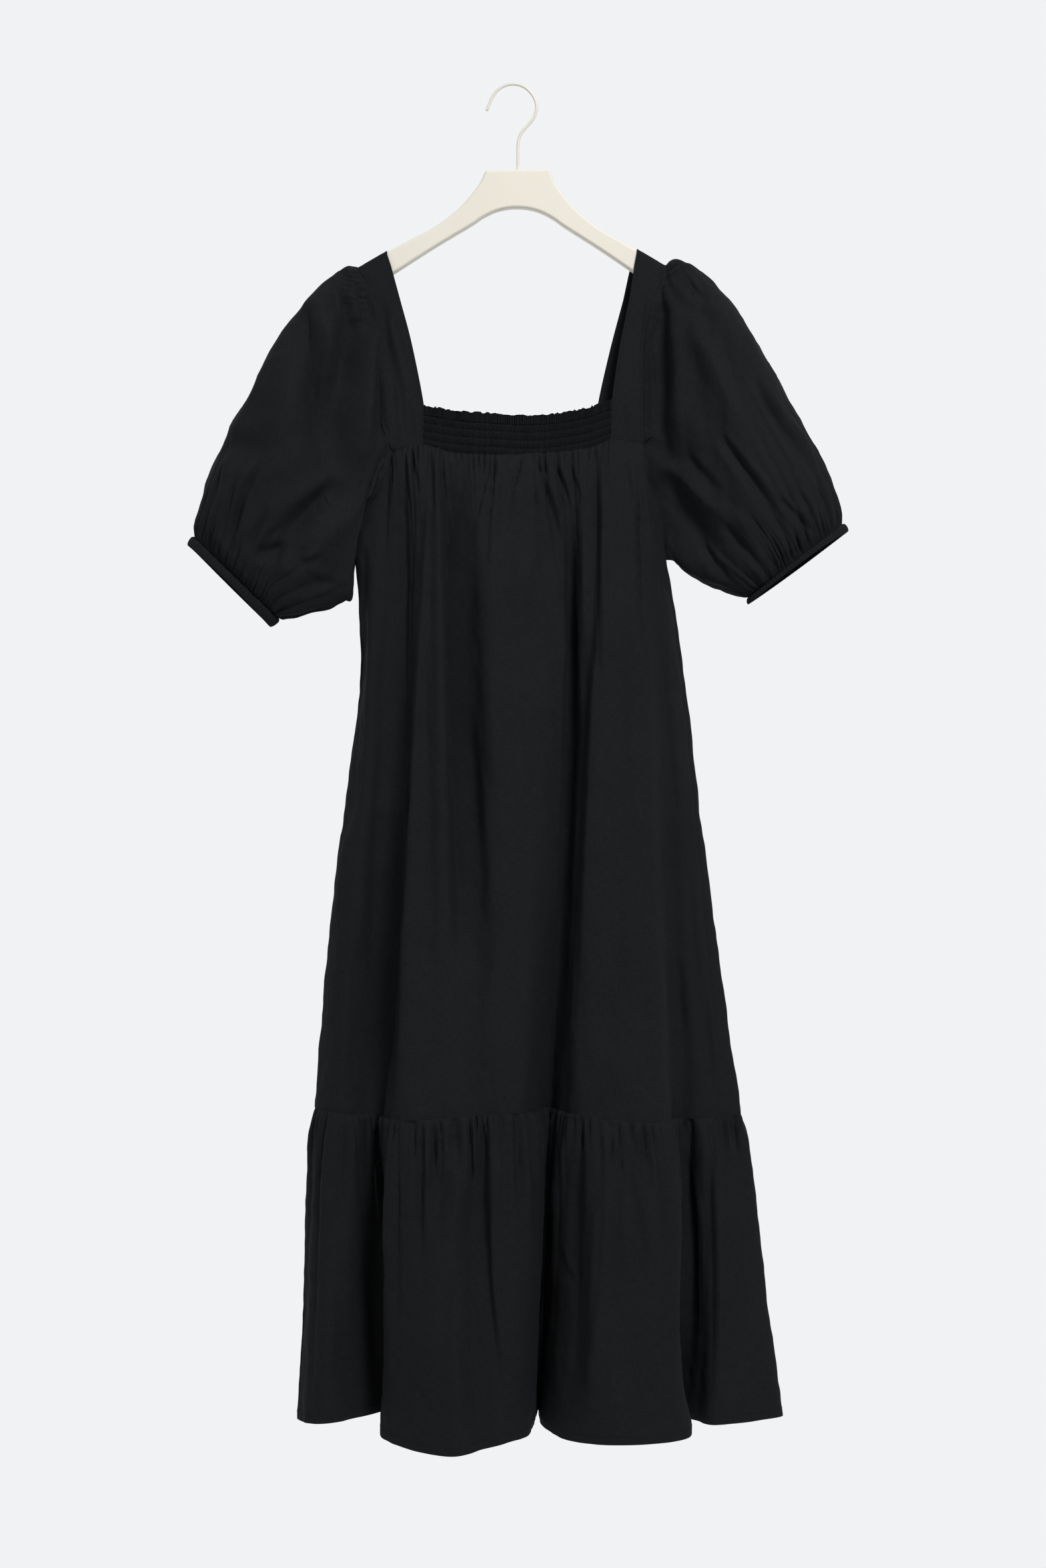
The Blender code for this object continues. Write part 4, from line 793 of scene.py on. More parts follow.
smocking = dict(
    top=((-91.0, -327.0), (-61.9, -332.0), (-25.8, -335.2), (21.8, -337.2), (69.0, -330.4),
         (100.0, -320.4)),
    bandTop=((-95.6, -330.0), (-6.0, -336.0), (86.4, -330.0)),
    puckers=112, perPucker=5, rows=64,
    header=9.6, rowSpacing=8.3, elastics=5,     # frilled edge above the first elastic, and from row to row
    relief=1.5, held=0.18,                      # of the puckers, and its share on an elastic
    bulge=0.9, sunk=0.5, blunt=0.7,             # of the cloth between two elastics
    slant=0.7, calm=0.8, calmEnd=2.0,           # puckers lean, and end at the seam
    stray=0.35, strayEvery=2.3, straySeed=41,             # puckers aren't evenly wide
    shift=0.5, shiftByRow=3.7, shiftByPucker=0.11, shiftSeed=43,      # nor quite under each other
    size=0.75, sizeSpread=0.35, sizeByPucker=1.3, sizeByRow=17.0, sizeSeed=47,
    frill=0.9, frillEvery=1.4, frillSeed=53, edgeEvery=1.1, edgeSeed=59,
    bandRows=18, bandColumns=96, bandWave=(26, 1.5, 61), bandDepth=0.5,
)


def sortedPair(keys, values):
    order = np.argsort(keys)
    return keys[order], values[order]


# a panel from its upper line down to its seam, between the straps' edges
def panelBetween(upper, lower, leftEdge, rightEdge, rows, columns, neckPoints=60):
    fraction = np.linspace(0, 1, columns + 1)
    seamX = np.interp(fraction, np.linspace(0, 1, len(lower)), lower[:, 0])
    seamY = np.interp(seamX, *sortedPair(lower[:, 0], lower[:, 1]))
    seamZ = np.interp(seamX, *sortedPair(lower[:, 0], lower[:, 2]))
    upper = np.array(upper)
    neck = through(upper, np.linspace(0, len(upper) - 1, neckPoints))
    topZ = np.interp(seamX, *sortedPair(neck[:, 0], neck[:, 1]))
    share = (seamX - seamX[0]) / (seamX[-1] - seamX[0])
    grid = np.zeros((rows, columns + 1, 3))
    for r, level in enumerate(np.linspace(0, 1, rows)):
        z = topZ + level * (seamZ - topZ)
        left = np.interp(z, *sortedPair(leftEdge[:, 2], leftEdge[:, 0]))
        right = np.interp(z, *sortedPair(rightEdge[:, 2], rightEdge[:, 0]))
        grid[r] = np.stack([left + share * (right - left), seamY, z], axis=1)
    return grid


# a strap's inner edge in front or behind, from its seam up
def strapSide(side, face):
    grid = strapGrids[side]
    count = len(grid) // 2
    return grid[:count, 0] if face == "front" else grid[::-1][:count, 0]


puckerForm = dict(height=1.6, plump=0.9, sunk=0.9)


# a row of rounded ridges with narrow dips
def ridges(place):
    wave = np.abs(np.sin(math.pi * place)) ** puckerForm["plump"]
    return puckerForm["height"] * wave - puckerForm["sunk"]


# puckers between rows of elastic, and a frilled header above them
def shirred(strip):
    down = travelled(strip)
    row = (down - smocking["header"]) / smocking["rowSpacing"]
    above = np.where(row < 0, np.clip(-row, 0, 1), 0)
    between = np.where(row < 0, 1.0, np.abs(np.sin(math.pi * row)) ** smocking["blunt"])
    number = np.floor(row).astype(int) + 1
    even = np.linspace(0, smocking["puckers"], strip.shape[1])[None, :]
    place = even + smocking["stray"] * uneven(even, smocking["strayEvery"], smocking["straySeed"])
    place = place + smocking["slant"] * np.where(row < 0, 0, (row % 1) - 0.5)
    shiftAt = number * smocking["shiftByRow"] + even * smocking["shiftByPucker"]
    place = place + smocking["shift"] * uneven(shiftAt, 1.0, smocking["shiftSeed"])
    sizeAt = place * smocking["sizeByPucker"] + number * smocking["sizeByRow"]
    size = smocking["size"] + smocking["sizeSpread"] * uneven(sizeAt, 1.0, smocking["sizeSeed"])
    push = smocking["relief"] * ridges(place) * size
    push *= smocking["held"] + (1 - smocking["held"]) * between
    push += np.where(row < 0, smocking["sunk"], smocking["bulge"] * between - smocking["sunk"])
    push += smocking["frill"] * above * uneven(place, smocking["frillEvery"], smocking["frillSeed"])
    end = down[-1][None, :] - down
    push *= 1 - smocking["calm"] * np.exp(-(end / smocking["calmEnd"]) ** 2)
    strip = strip + panelNormals(strip, -1) * push[..., None]
    strip[..., 2] += smocking["frill"] * above * uneven(place, smocking["edgeEvery"], smocking["edgeSeed"])
    return strip


seam = skirt[0, edgeOfBody(skirt, strapFolds["left"][0][1], strapFolds["right"][0][1])]
shirring = shirred(panelBetween(
    smocking["top"], seam, strapSide("left", "front"), strapSide("right", "front"),
    smocking["rows"], smocking["puckers"] * smocking["perPucker"]))
shirringNormals = panelNormals(shirring, -1)
piece = clothShell("frontSmocking", shirring, shirringNormals, cloth["wall"])
finishCloth(piece, "front_smocking", shirredPoplin)

seam = skirt[0, edgeOfBody(skirt, strapFolds["right"][1][1], strapFolds["left"][1][1])]
band = panelBetween(smocking["bandTop"], seam[::-1], strapSide("left", "back"), strapSide("right", "back"),
                    smocking["bandRows"], smocking["bandColumns"])
normals = panelNormals(band, 1)
band = band + normals * (smocking["bandDepth"] * softWaves(band, *smocking["bandWave"]))[..., None]
piece = clothShell("backBand", band, normals, cloth["strapWall"])
finishCloth(piece, "back_band", blackPoplin)
print("smocking and band made")

sleeves = dict(
    columns=324, fine=11, capLead=3.5, capStep=(8.0, 4.0), squareness=0.8,
    cornerSoft=8,           # the cap turns its corners slowly, so that it can't cross itself there
    capLift={"left": 0.0, "right": 4.5},
    # upper x, z, lower x, z, front, back
    sections={
        "left": (
            (-181.0, -192.0, -164.5, -516.0, 34, 28),
            (-198.0, -206.5, -172.0, -523.5, 43, 34),
            (-214.0, -223.0, -180.0, -528.0, 50, 38),
            (-239.4, -259.8, -190.4, -532.5, 55, 40),
            (-274.0, -324.4, -214.2, -538.6, 57, 40),
            (-306.0, -387.6, -229.8, -542.0, 52, 38),
            (-318.9, -435.2, -235.3, -543.3, 43, 33),
            (-325.0, -459.7, -239.4, -542.6, 32, 26),
        ),
        "right": (
            (175.0, -180.5, 166.5, -487.0, 34, 28),
            (191.0, -191.5, 176.0, -495.0, 43, 34),
            (206.0, -205.0, 190.0, -503.0, 50, 38),
            (226.4, -229.2, 204.0, -510.0, 55, 40),
            (258.4, -282.9, 216.0, -515.4, 57, 40),
            (296.5, -351.6, 227.8, -518.2, 52, 38),
            (323.0, -404.6, 235.3, -519.5, 44, 33),
            (334.6, -446.8, 240.7, -520.9, 32, 26),
        ),
    },
    # angle at cap and cuff, start and end along the sleeve, width, depth
    folds={
        "left": ((38, 52, 0.05, 0.95, 16, 7.0), (72, 80, 0.10, 0.90, 18, 9.0),
                 (112, 104, 0.05, 0.85, 16, 8.0), (142, 130, 0.15, 0.70, 14, 6.0),
                 (230, 236, 0.10, 0.90, 18, 7.0), (290, 282, 0.08, 0.85, 18, 7.0)),
        "right": ((30, 70, 0.12, 0.95, 15, 8.0), (62, 104, 0.05, 0.90, 17, 9.0),
                  (100, 132, 0.05, 0.80, 16, 8.0), (135, 150, 0.20, 0.75, 14, 6.0),
                  (226, 238, 0.10, 0.90, 18, 7.0), (286, 278, 0.08, 0.85, 18, 7.0)),
    },
    foldShare=0.75, foldBlunt=0.7, faceOn=2.5,
    capGathers=((8.0, 1.5, 36.0), (4.6, 0.9, 18.0)), capSpan=32.0, softened=1,
    topHeavy=0.3,           # how much fuller the front is near its top
    creaseSteep=0.8, creaseCrisp=1.8, crumple=1.2, capCalm=6.0, endCalm=12.0, endPower=0.6,
    seeds={"left": 71, "right": 83}, cuffSeed=5,
    cuffGathers=((10.0, 2.5, 46.0), (5.0, 1.8, 20.0)),
    # as seen from in front: x0, z0, x1, z1, bow, width, depth
    creases={
        "left": ((-214, -226, -182, -408, -4, 13, -16.0), (-136, -376, -170, -430, 0, 12, -6.0),
                 (-168, -196, -157, -256, 5, 3.4, -5.0),
                 (-158, -196, -147, -250, 2, 2.8, -3.6), (-175, -208, -163, -252, -4, 3.4, -5.0),
                 (-184, -214, -172, -262, 0, 4.0, -3.0), (-152, -206, -143, -240, 0, 2.6, -3.0),
                 (-157, -238, -174, -418, 5, 14, -20.0), (-136, -270, -133, -400, 0, 5, -5.0),
                 (-143, -262, -148, -400, 0, 5, 3.0), (-172, -396, -262, -476, 4, 9, 8.0),
                 (-166, -412, -256, -490, 4, 16, -13.0), (-258, -482, -216, -472, 0, 5, -6.0),
                 (-292, -366, -303, -440, 3, 6, -7.0), (-257, -395, -286, -468, 3, 4, -7.0),
                 (-262, -388, -276, -440, 0, 4, 4.0), (-298, -362, -240, -380, 0, 9, -6.0),
                 (-224, -220, -262, -300, 3, 9, 3.0), (-196, -235, -214, -330, 4, 8, 3.0),
                 (-214, -485, -198, -512, 0, 4, -3.0), (-228, -470, -246, -504, 0, 3, -4.0),
                 (-205, -474, -216, -494, 5, 4, -4.0), (-178, -508, -222, -520, 2, 4, -3.6),
                 (-278, -405, -296, -466, 0, 3, -5.0), (-182, -235, -176, -330, 2, 8, 4.0),
                 (-236, -455, -262, -492, 0, 3, -4.0), (-222, -486, -190, -482, 3, 3, -3.0),
                 (-246, -440, -272, -484, 0, 3, -4.0), (-268, -425, -289, -476, 0, 3, -4.0)),
        "right": ((149.5, -188, 158, -240, 3, 3.0, -4.0), (152, -184, 172, -232, 3, 3.0, -5.0),
                  (158, -183, 184, -222, 2, 3.0, -4.4), (165, -183, 196, -226, 2, 3.0, -4.4),
                  (146, -196, 150, -240, 0, 2.6, -3.0), (172, -184, 206, -232, 0, 3.4, -3.4),
                  (182, -255, 240, -434, -11, 9, 5.0), (206, -362, 268, -446, 0, 4.0, -7.0),
                  (244.8, -308, 304, -402, 0, 3.6, -7.0), (213, -292, 236, -378, 0, 8, -3.0),
                  (266, -424, 303, -462, 0, 3.0, -5.0), (150, -222, 148, -392, 4, 10, -16.0),
                  (135, -240, 133, -340, 0, 3, -3.6), (153, -396, 196, -486, 0, 17, -12.0),
                  (150, -384, 224, -456, 2, 7, 5.0), (170, -378, 206, -420, 0, 4, -4.0),
                  (308, -400, 316, -446, 0, 4, -5.0), (188, -470, 224, -512, 0, 3, -4.0),
                  (230, -250, 268, -330, 0, 9, 2.6), (280, -350, 304, -392, 0, 6, 2.6),
                  (236, -440, 262, -478, 0, 4, -3.4), (210, -450, 244, -492, 0, 4, -3.0),
                  (222, -436, 246, -470, 0, 6, 2.6), (176, -190, 214, -250, 0, 6, 2.4)),
    },
    backCreases={
        "left": ((-205, -230, -200, -400, 4, 11, -5.0), (-160, -240, -165, -390, 0, 8, -5.0),
                 (-240, -300, -290, -440, 3, 9, -5.0), (-180, -400, -250, -490, 3, 9, -5.0),
                 (-220, -380, -276, -470, 2, 6, -4.0), (-262, -330, -306, -420, 0, 8, 3.5)),
        "right": ((190, -220, 205, -390, -4, 11, -5.0), (156, -230, 158, -380, 0, 8, -5.0),
                  (236, -290, 296, -420, -3, 9, -5.0), (176, -390, 244, -470, -3, 9, -5.0),
                  (214, -360, 270, -446, -2, 6, -4.0), (262, -320, 310, -400, 0, 8, 3.5)),
    },
    cuffEdge={"left": (-330.5, -468.6, -249.0, -549.6, 34, 28),
              "right": (339.2, -454.4, 240.2, -527.6, 34, 28)},
    cuffBow=(2.5, -1.0), cuffRows=15, cuffColumns=560, cuffPuckers=84, cuffRelief=0.5, cuffRound=1.4,
    cuffProud=0.6, endIn=0.8,       # how far the band stands out, and the sleeve's end lies in
    cuffHeld=0.1, cuffRise=0.15, cuffSlant=0.5, cuffStray=0.4, cuffStrayEvery=2.1, cuffStraySeed=91,
)


# the armhole's edge from the shoulder down the front, under the arm and up the back
def armhole(side, sheet, strap):
    outerFront, outerBack = (pair[0] for pair in strapFolds[side])
    seamName = sideSeams[0] if side == "left" else sideSeams[1]
    shoulder = len(strap) // 2
    downFront = np.arange(shoulder - 1, -1, -1)
    upBack = np.arange(len(strap) - 1, shoulder - 1, -1)
    facing = strapNormals(side, strap)
    turned = gridNormals(sheet, ring=True)[0]
    if side == "left":
        front = edgeOfBody(sheet, seamName, outerFront)[::-1]
        back = edgeOfBody(sheet, outerBack, seamName)[::-1]
    else:
        front = edgeOfBody(sheet, outerFront, seamName)
        back = edgeOfBody(sheet, seamName, outerBack)
    points = np.vstack([strap[downFront, -1], sheet[0, front][1:], sheet[0, back][1:],
                        strap[upBack, -1][1:]])
    normals = np.vstack([facing[downFront, -1], turned[front][1:], turned[back][1:],
                         facing[upBack, -1][1:]])
    normals[:, 2] = 0
    return points, unit(normals)


# the same ring in even steps
def evenRing(points, normals, count):
    closed = np.vstack([points, points[:1]])
    lengths = np.concatenate([[0], np.cumsum(np.linalg.norm(np.diff(closed, axis=0), axis=1))])
    at = np.linspace(0, lengths[-1], count, endpoint=False)
    ring = np.stack([np.interp(at, lengths, closed[:, k]) for k in range(3)], axis=1)
    turned = np.vstack([normals, normals[:1]])
    turned = np.stack([np.interp(at, lengths, turned[:, k]) for k in range(3)], axis=1)
    return ring, unit(turned)


# a section of the sleeve; angle runs from its top down the front
def sectionRing(row, angle):
    upperX, upperZ, lowerX, lowerZ, front, back = row
    upper, lower = np.array([upperX, 0.0, upperZ]), np.array([lowerX, 0.0, lowerZ])
    roundOut = np.sign(np.sin(angle)) * np.abs(np.sin(angle)) ** sleeves["squareness"]
    ring = (upper + lower) / 2 + np.cos(angle)[:, None] * (upper - lower) / 2
    fuller = np.where(np.sin(angle) > 0, front * (1 + sleeves["topHeavy"] * np.cos(angle)), back)
    ring[:, 1] -= fuller * roundOut
    return ring


# distance round each point of a ring, in a row
def roundRing(ring):
    steps = np.linalg.norm(np.roll(ring, -1, axis=0) - ring, axis=1)
    return np.concatenate([[0], np.cumsum(steps)[:-1]])[None, :]


def foldedSleeve(side, sleeve, angle):
    normals = tubeNormals(sleeve)
    along = np.linspace(0, 1, len(sleeve))[:, None]
    degrees = np.degrees(angle)[None, :]
    push = np.zeros(sleeve.shape[:2])
    for startAngle, endAngle, start, end, width, depth in sleeves["folds"][side]:
        away = (degrees - startAngle - (endAngle - startAngle) * along + 180) % 360 - 180
        window = np.sin(math.pi * np.clip((along - start) / (end - start), 0, 1)) ** sleeves["foldBlunt"]
        push -= sleeves["foldShare"] * depth * np.exp(-(away / width) ** 2) * window
    fromCap = travelled(sleeve)
    fromCuff = fromCap[-1][None, :] - fromCap
    fromTop = np.degrees(np.abs((angle + math.pi) % (2 * math.pi) - math.pi))[None, :]
    onTop = np.exp(-(fromTop / sleeves["capSpan"]) ** 4)
    seed = sleeves["seeds"][side]
    push += gathers(roundRing(sleeve[0]), fromCap, sleeves["capGathers"], seed) * onTop
    push += gathers(roundRing(sleeve[-1]), fromCuff, sleeves["cuffGathers"], seed + sleeves["cuffSeed"])
    placed = np.zeros(push.shape)
    for face, sign in (("creases", 1), ("backCreases", -1)):
        shown = np.clip(sign * np.sin(angle) * sleeves["faceOn"], 0, 1)[None, :]
        placed += shown * pressed(sleeve[..., 0], sleeve[..., 2], sleeves[face][side],
                                  sleeves["creaseSteep"], sleeves["creaseCrisp"])
    for _ in range(sleeves["softened"]):        # creases that cross the grid at a slant stay smooth
        placed[1:-1] = (placed[:-2] + 2 * placed[1:-1] + placed[2:]) / 4
        placed = (np.roll(placed, 1, axis=1) + 2 * placed + np.roll(placed, -1, axis=1)) / 4
    push += placed
    for size, upright, depth in cloth["crumple"]:
        push += sleeves["crumple"] * depth * softWaves(sleeve, size, upright, seed + int(size))
    push *= np.clip(fromCap / sleeves["capCalm"], 0, 1)
    free = np.clip(fromCuff / sleeves["endCalm"], 0, 1)
    push = push * free ** sleeves["endPower"] - sleeves["endIn"] * (1 - free)
    return sleeve + normals * push[..., None]


# rings from the armhole to the cuff, with the folds and creases of the cloth
def sleeveGrid(side):
    edge, facing = evenRing(*armhole(side, skirt, strapGrids[side]), sleeves["columns"])
    angle = 2 * math.pi * np.arange(len(edge)) / len(edge)
    ahead = unit(np.roll(edge, -1, axis=0) - np.roll(edge, 1, axis=0))
    toLeft = 1 if side == "left" else -1
    wayOut = unit(np.cross(ahead, facing)) * toLeft
    for _ in range(sleeves["cornerSoft"]):
        wayOut = unit(np.roll(wayOut, 1, axis=0) + 2 * wayOut + np.roll(wayOut, -1, axis=0))
    stepAside, stepOut = sleeves["capStep"]
    aside = np.array([-toLeft * stepAside, 0, 0])
    spread = np.sign(edge[:, 1:2]) * np.array([[0, stepOut, 0]])
    lift = np.array([[0, 0, sleeves["capLift"][side]]]) * np.clip(np.cos(angle), 0, 1)[:, None] ** 4
    lead = edge + wayOut * sleeves["capLead"]
    rings = [edge, lead, lead + aside + spread + lift]
    rings += [sectionRing(row, angle) for row in sleeves["sections"][side]]
    step = 1 / sleeves["fine"]
    return foldedSleeve(side, through(np.array(rings), np.arange(0, len(rings) - 1 + step / 2, step)), angle)


# the cuff's band of small puckers, whose upper row lies on the sleeve's end
def cuffGrid(side):
    angle = 2 * math.pi * np.arange(sleeves["cuffColumns"]) / sleeves["cuffColumns"]
    upper = sectionRing(sleeves["sections"][side][-1], angle)
    lower = sectionRing(sleeves["cuffEdge"][side], angle)
    upward = unit(upper.mean(axis=0) - lower.mean(axis=0))
    bow = np.where(np.sin(angle) > 0, *sleeves["cuffBow"]) * np.sin(angle) ** 2
    lower = lower + upward * bow[:, None]
    down = np.linspace(0, 1, sleeves["cuffRows"])[:, None]
    cuff = upper[None] * (1 - down)[..., None] + lower[None] * down[..., None]
    place = sleeves["cuffPuckers"] * angle / (2 * math.pi)
    stray = uneven(place, sleeves["cuffStrayEvery"], sleeves["cuffStraySeed"])
    place = place[None, :] + sleeves["cuffStray"] * stray[None, :] + sleeves["cuffSlant"] * down
    plump = np.sqrt(np.clip(1 - (2 * down - 1) ** 2, 0, 1))
    held = sleeves["cuffHeld"]
    push = sleeves["cuffRelief"] * ridges(place) * (held + (1 - held) * plump) + sleeves["cuffRound"] * plump
    proud = sleeves["cuffProud"] + sleeves["endIn"]
    push += proud * np.clip(down / sleeves["cuffRise"], 0, 1) - sleeves["endIn"]
    return cuff + tubeNormals(cuff) * push[..., None]


cuffs = []              # as closed grids with their normals, for the stitches
for side in ("left", "right"):
    sleeve = sleeveGrid(side)
    piece = clothShell("sleeve" + side.title(), sleeve, tubeNormals(sleeve), cloth["wall"], ring=True)
    finishCloth(piece, "sleeve_" + side, blackPoplin)
    cuff = cuffGrid(side)
    facing = tubeNormals(cuff)
    piece = clothShell("cuff" + side.title(), cuff, facing, cloth["strapWall"], ring=True)
    finishCloth(piece, "cuff_" + side, blackPoplin)
    cuffs.append([np.concatenate([part, part[:, :1]], axis=1) for part in (cuff, facing)])
print("sleeves and cuffs made")


# a closed rigid piece, its faces turned outwards; edgeRound and edgeSteps round its edges
def rigidPiece(name, points, faces, node, look, sharpAngle=None,
               edgeRound=0.0, edgeSteps=1, edgeAngle=60.0):
    mesh = bpy.data.meshes.new(name)
    mesh.from_pydata([tuple(v / 1000 for v in point) for point in points], [], faces)
    build = bmesh.new()
    build.from_mesh(mesh)
    bmesh.ops.recalc_face_normals(build, faces=build.faces)
    build.to_mesh(mesh)
    build.free()
    mesh.shade_smooth()
    if sharpAngle:
        mesh.set_sharp_from_angle(angle=math.radians(sharpAngle))
    piece = linked(name, mesh)
    if edgeRound:
        rounded = piece.modifiers.new("roundedEdges", "BEVEL")
        rounded.width = edgeRound / 1000
        rounded.segments = edgeSteps
        rounded.limit_method = "ANGLE"
        rounded.angle_limit = math.radians(edgeAngle)
        rounded.harden_normals = True
    standIn(piece, node, look)


# points round the hanger's body as x and z, from its top's right corner
def hangerOutline():
    upper, tip, lower = hanger["upper"], hanger["tip"], hanger["lower"]
    fine = hanger["outlineFine"]
    arch = hangerEdge(lower + tuple((-x, z) for x, z in lower[-2::-1]), fine)
    right = np.vstack([hangerEdge(upper, fine),
                       hangerEdge((upper[-1],) + tip + (lower[0],), hanger["tipFine"])[1:-1],
                       arch[:(len(lower) - 1) * fine + 1]])
    outline = np.vstack([right, right[::-1][1:-1] * np.array([-1.0, 1.0])])
    outline[:, 1] -= outline[:, 0] * math.sin(hanger["tilt"])
    outline[:, 0] += hanger["middleX"]
    return outline


outline = hangerOutline()
count = len(outline)
points = [(x, y, z) for y in (-hanger["thick"] / 2, hanger["thick"] / 2) for x, z in outline]
faces = [tuple(range(count)), tuple(range(2 * count - 1, count - 1, -1))]
faces += [(k, k + count, (k + 1) % count + count, (k + 1) % count) for k in range(count)]
rigidPiece("hangerBody", points, faces, "hanger_body", creamAbs,
           edgeRound=hanger["edgeRound"], edgeSteps=hanger["edgeSteps"])

# Stitching: bars of thread in a row, each set along the cloth by nodes
stitching = dict(
    pitch=3.1, length=2.4, thick=0.5, uneven=0.14, seed=7, sides=5, rings=3, proud=0.1,
    hemRise=8.2, strapInset=2.6, cuffInset=1.6,         # of the rows from the edges of the cloth
    elasticPitch=1.7, elasticLength=1.3,
    reach=0.3,              # how far ahead and back a stitch looks for its direction, in pitches
)


# a bar on each point, turned along "ahead", its length uneven by a random share
def stitchNodes():
    tree = bpy.data.node_groups.new("stitchRow", "GeometryNodeTree")
    for label, kind in (("Points", "Geometry"), ("Length", "Float"), ("Thickness", "Float"),
                        ("Unevenness", "Float"), ("Seed", "Int"), ("Thread", "Material")):
        tree.interface.new_socket(label, in_out="INPUT", socket_type="NodeSocket" + kind)
    tree.interface.new_socket("Stitches", in_out="OUTPUT", socket_type="NodeSocketGeometry")
    given = addNode(tree, "NodeGroupInput").outputs
    ahead = addNode(tree, "GeometryNodeInputNamedAttribute",
                    {"data_type": "FLOAT_VECTOR", "Name": "ahead"})
    turned = addNode(tree, "FunctionNodeAlignRotationToVector", {"axis": "Z"},
                     {"Vector": ahead.outputs["Attribute"]})
    least = addNode(tree, "ShaderNodeMath", {"operation": "SUBTRACT", 0: 1.0}, {1: given["Unevenness"]})
    most = addNode(tree, "ShaderNodeMath", {"operation": "ADD", 0: 1.0}, {1: given["Unevenness"]})
    share = addNode(tree, "FunctionNodeRandomValue", {"data_type": "FLOAT"},
                    {2: least.outputs[0], 3: most.outputs[0], "Seed": given["Seed"]})
    length = addNode(tree, "ShaderNodeMath", {"operation": "MULTIPLY"},
                     {0: share.outputs[1], 1: given["Length"]})
    size = addNode(tree, "ShaderNodeCombineXYZ",
                   links={"X": given["Thickness"], "Y": given["Thickness"], "Z": length.outputs[0]})
    bar = addNode(tree, "GeometryNodeMeshUVSphere",
                  {"Segments": stitching["sides"], "Rings": stitching["rings"], "Radius": 0.5})
    placed = addNode(tree, "GeometryNodeInstanceOnPoints",
                     links={"Points": given["Points"], "Instance": bar.outputs["Mesh"],
                            "Rotation": turned.outputs["Rotation"], "Scale": size.outputs["Vector"]})
    real = addNode(tree, "GeometryNodeRealizeInstances",
                   links={"Geometry": placed.outputs["Instances"]})
    dyed = addNode(tree, "GeometryNodeSetMaterial",
                   links={"Geometry": real.outputs["Geometry"], "Material": given["Thread"]})
    addNode(tree, "NodeGroupOutput", links={"Stitches": dyed.outputs["Geometry"]})
    return tree


stitchTree = stitchNodes()


# a line of points and normals over a grid, at so many mm below its first row
def levelLine(grid, normals, at):
    below = travelled(grid)
    fields = np.concatenate([grid, normals], axis=2)
    return np.array([[np.interp(at, below[:, c], fields[:, c, k]) for k in range(6)]
                     for c in range(grid.shape[1])])


# stitches along lines of points and normals, on the cloth's outer face
def stitchLines(name, lines, wall, pitch=stitching["pitch"], length=stitching["length"]):
    places, ways = [], []
    for line in lines:
        gone = np.concatenate([[0], np.cumsum(np.linalg.norm(np.diff(line[:, :3], axis=0), axis=1))])
        at = np.arange(pitch / 2, gone[-1], pitch)
        put = np.stack([np.interp(at, gone, line[:, k]) for k in range(6)], axis=1)
        places.append(put[:, :3] + unit(put[:, 3:]) * (wall / 2 + stitching["proud"]))
        reach = stitching["reach"] * pitch
        ways.append(unit(np.stack([np.interp(at + reach, gone, line[:, k])
                                   - np.interp(at - reach, gone, line[:, k]) for k in range(3)], axis=1)))
    mesh = bpy.data.meshes.new(name)
    mesh.from_pydata((np.vstack(places) / 1000).tolist(), [], [])
    ahead = mesh.attributes.new("ahead", "FLOAT_VECTOR", "POINT")
    ahead.data.foreach_set("vector", np.vstack(ways).reshape(-1))
    row = linked(name, mesh)
    nodes = row.modifiers.new("stitches", "NODES")
    nodes.node_group = stitchTree
    values = {"Length": length / 1000, "Thickness": stitching["thick"] / 1000,
              "Unevenness": stitching["uneven"], "Seed": stitching["seed"], "Thread": thread}
    for item in stitchTree.interface.items_tree:
        if item.name in values:
            nodes[item.identifier] = values[item.name]
    sewn = bpy.data.meshes.new_from_object(row.evaluated_get(bpy.context.evaluated_depsgraph_get()))
    row.modifiers.remove(nodes)
    row.data = sewn
    sewn.shade_smooth()
    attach(row, "root")


hemLine = levelLine(flounce[::-1], flounceNormals[::-1], stitching["hemRise"])
stitchLines("hemStitching", [np.vstack([hemLine, hemLine[:1]])], cloth["wall"])
strapLines = []
for side in ("left", "right"):
    crosswise = np.swapaxes(strapGrids[side], 0, 1)
    facing = np.swapaxes(strapNormals(side, strapGrids[side]), 0, 1)
    strapLines += [levelLine(crosswise[::flip], facing[::flip], stitching["strapInset"]) for flip in (1, -1)]
stitchLines("strapStitching", strapLines, cloth["strapWall"])
stitchLines("cuffStitching", [levelLine(*cuff, stitching["cuffInset"]) for cuff in cuffs], cloth["strapWall"])
elasticLines = [levelLine(shirring, shirringNormals, smocking["header"] + k * smocking["rowSpacing"])
                for k in range(smocking["elastics"])]
stitchLines("elasticThread", elasticLines, cloth["wall"],
            stitching["elasticPitch"], stitching["elasticLength"])
print("stitches made")

# the wire's middle line as x and z, from its free end to inside the hanger
hook = dict(
    radius=1.6, around=20, step=0.125, endRings=3, endLeast=0.05, sharpAngle=50.0,
    route=((-26.9, -23.8), (-24.4, -17.3), (-21.0, -9.7), (-15.6, -3.2), (-7.0, 1.4), (2.0, 2.1),
           (10.6, -0.6), (18.0, -7.0), (22.6, -15.6), (23.2, -24.0), (20.4, -32.4), (13.8, -40.4),
           (7.6, -48.0), (4.8, -56.6), (4.4, -66.0), (4.4, -86.0)),
)


def wireRing(middle, side, size):
    turns = np.linspace(0, 2 * math.pi, hook["around"], endpoint=False)
    return [(middle[0] + side[0] * size * math.cos(turn), size * math.sin(turn),
             middle[1] + side[1] * size * math.cos(turn)) for turn in turns]


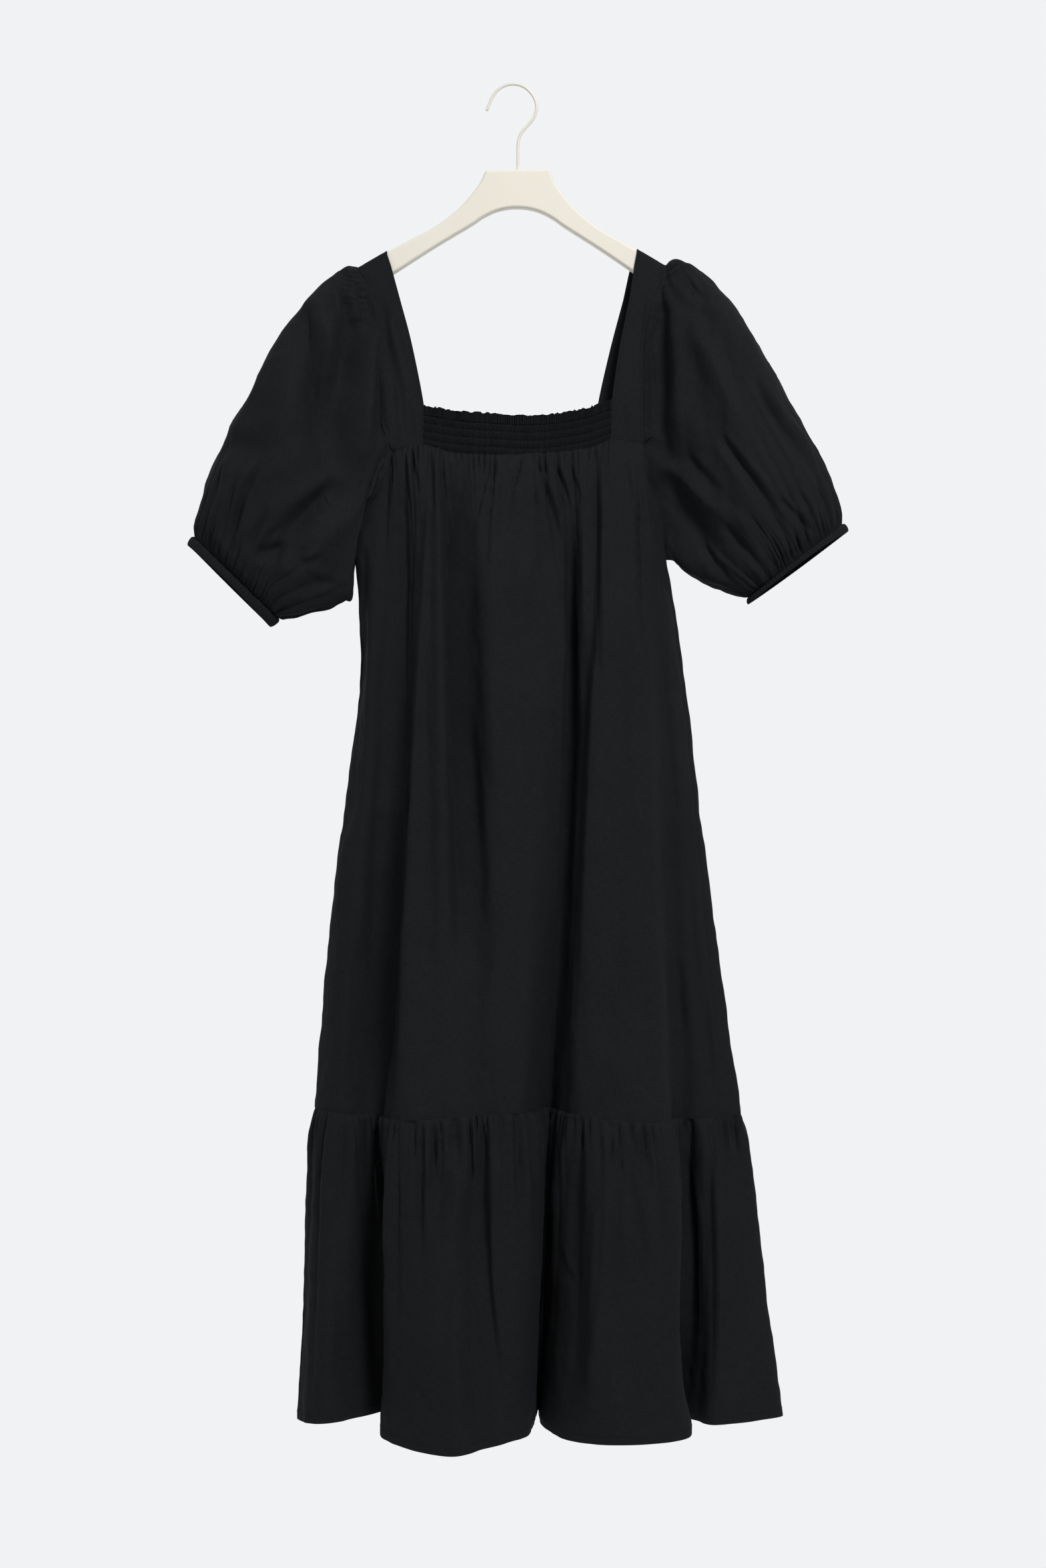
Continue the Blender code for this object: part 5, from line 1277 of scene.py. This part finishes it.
lastPoint = len(hook["route"]) - 1
route = through(np.array(hook["route"]), np.arange(0, lastPoint + hook["step"] / 2, hook["step"]))
forward = unit(np.gradient(route, axis=0))
aside = np.stack([-forward[:, 1], forward[:, 0]], axis=1)
tube = []
for k in range(hook["endRings"], 0, -1):                    # a rounded free end
    part = k / hook["endRings"]
    size = hook["radius"] * math.sqrt(max(1 - part ** 2, hook["endLeast"] ** 2))
    tube.append(wireRing(route[0] - forward[0] * hook["radius"] * part, aside[0], size))
tube += [wireRing(middle, way, hook["radius"]) for middle, way in zip(route, aside)]
rows, columns = len(tube), hook["around"]
faces = [(r * columns + c, (r + 1) * columns + c, (r + 1) * columns + (c + 1) % columns,
          r * columns + (c + 1) % columns) for r in range(rows - 1) for c in range(columns)]
faces += [tuple(range(columns)), tuple(range((rows - 1) * columns, rows * columns))[::-1]]
rigidPiece("hangerHook", [point for ring in tube for point in ring], faces, "hanger_hook",
           coatedWire, sharpAngle=hook["sharpAngle"])
print("hanger made")

# the studio, in metres: the view from in front, a pale round floor, a lamp at the right and a
# weaker one at the left
studio = dict(
    cameraAt=(0.0095, -2.8, -0.711), lens=63.08, sensor=36.0, nearest=0.05,
    floorRadius=1.3, floorZ=-1.9, floorSides=96,
    lamps=dict(
        key=dict(at=(1.1, -2.55, 1.35), aim=(0.0, 0.0, -0.75), size=1.0, power=80),
        fill=dict(at=(-2.4, -2.2, 0.7), aim=(0.0, 0.0, -0.7), size=2.0, power=14),
    ),
)
camera = linked("camera", bpy.data.cameras.new("camera"))
camera.data.sensor_width = studio["sensor"]
camera.data.lens = studio["lens"]
camera.data.clip_start = studio["nearest"]
camera.location = studio["cameraAt"]
camera.rotation_euler = (math.radians(90), 0, 0)
bpy.context.scene.camera = camera

floorMesh = bpy.data.meshes.new("floor")
turns = np.linspace(0, 2 * math.pi, studio["floorSides"], endpoint=False)
floorMesh.from_pydata([(studio["floorRadius"] * math.cos(a), studio["floorRadius"] * math.sin(a),
                        studio["floorZ"]) for a in turns], [], [tuple(range(len(turns)))])
# Floor: pale matt paint, of one colour
paleFloor, _, _ = startMaterial("palePaintedFloor", {"Base Color": shade("#e9eaeb"), "Roughness": 0.8})
floorMesh.materials.append(paleFloor)
linked("floor", floorMesh)

bpy.context.scene.view_settings.view_transform = "Standard"
world = bpy.data.worlds.new("studio")
bpy.context.scene.world = world
world.use_nodes = True
sky = world.node_tree
direction = addNode(sky, "ShaderNodeSeparateXYZ", links={
    "Vector": addNode(sky, "ShaderNodeTexCoord").outputs["Generated"]})
# pale light from behind the dress, and a dimmer room in front that leaves its folds dark
room = addNode(sky, "ShaderNodeMapRange",
               {"From Min": -0.25, "From Max": 0.35, "To Min": 0.26, "To Max": 1.0},
               {"Value": direction.outputs["Y"]})
sky.nodes["Background"].inputs["Color"].default_value = shade("#f1f2f4")
sky.links.new(room.outputs["Result"], sky.nodes["Background"].inputs["Strength"])

for name, lamp in studio["lamps"].items():
    light = bpy.data.lights.new(name, "AREA")
    light.shape = "DISK"
    light.size = lamp["size"]
    light.energy = lamp["power"]
    holder = linked(name, light)
    holder.location = lamp["at"]
    toward = np.array(lamp["aim"]) - np.array(lamp["at"])
    tip = math.atan2(math.hypot(toward[0], toward[1]), -toward[2])
    holder.rotation_euler = (tip, 0, math.atan2(-toward[0], toward[1]))
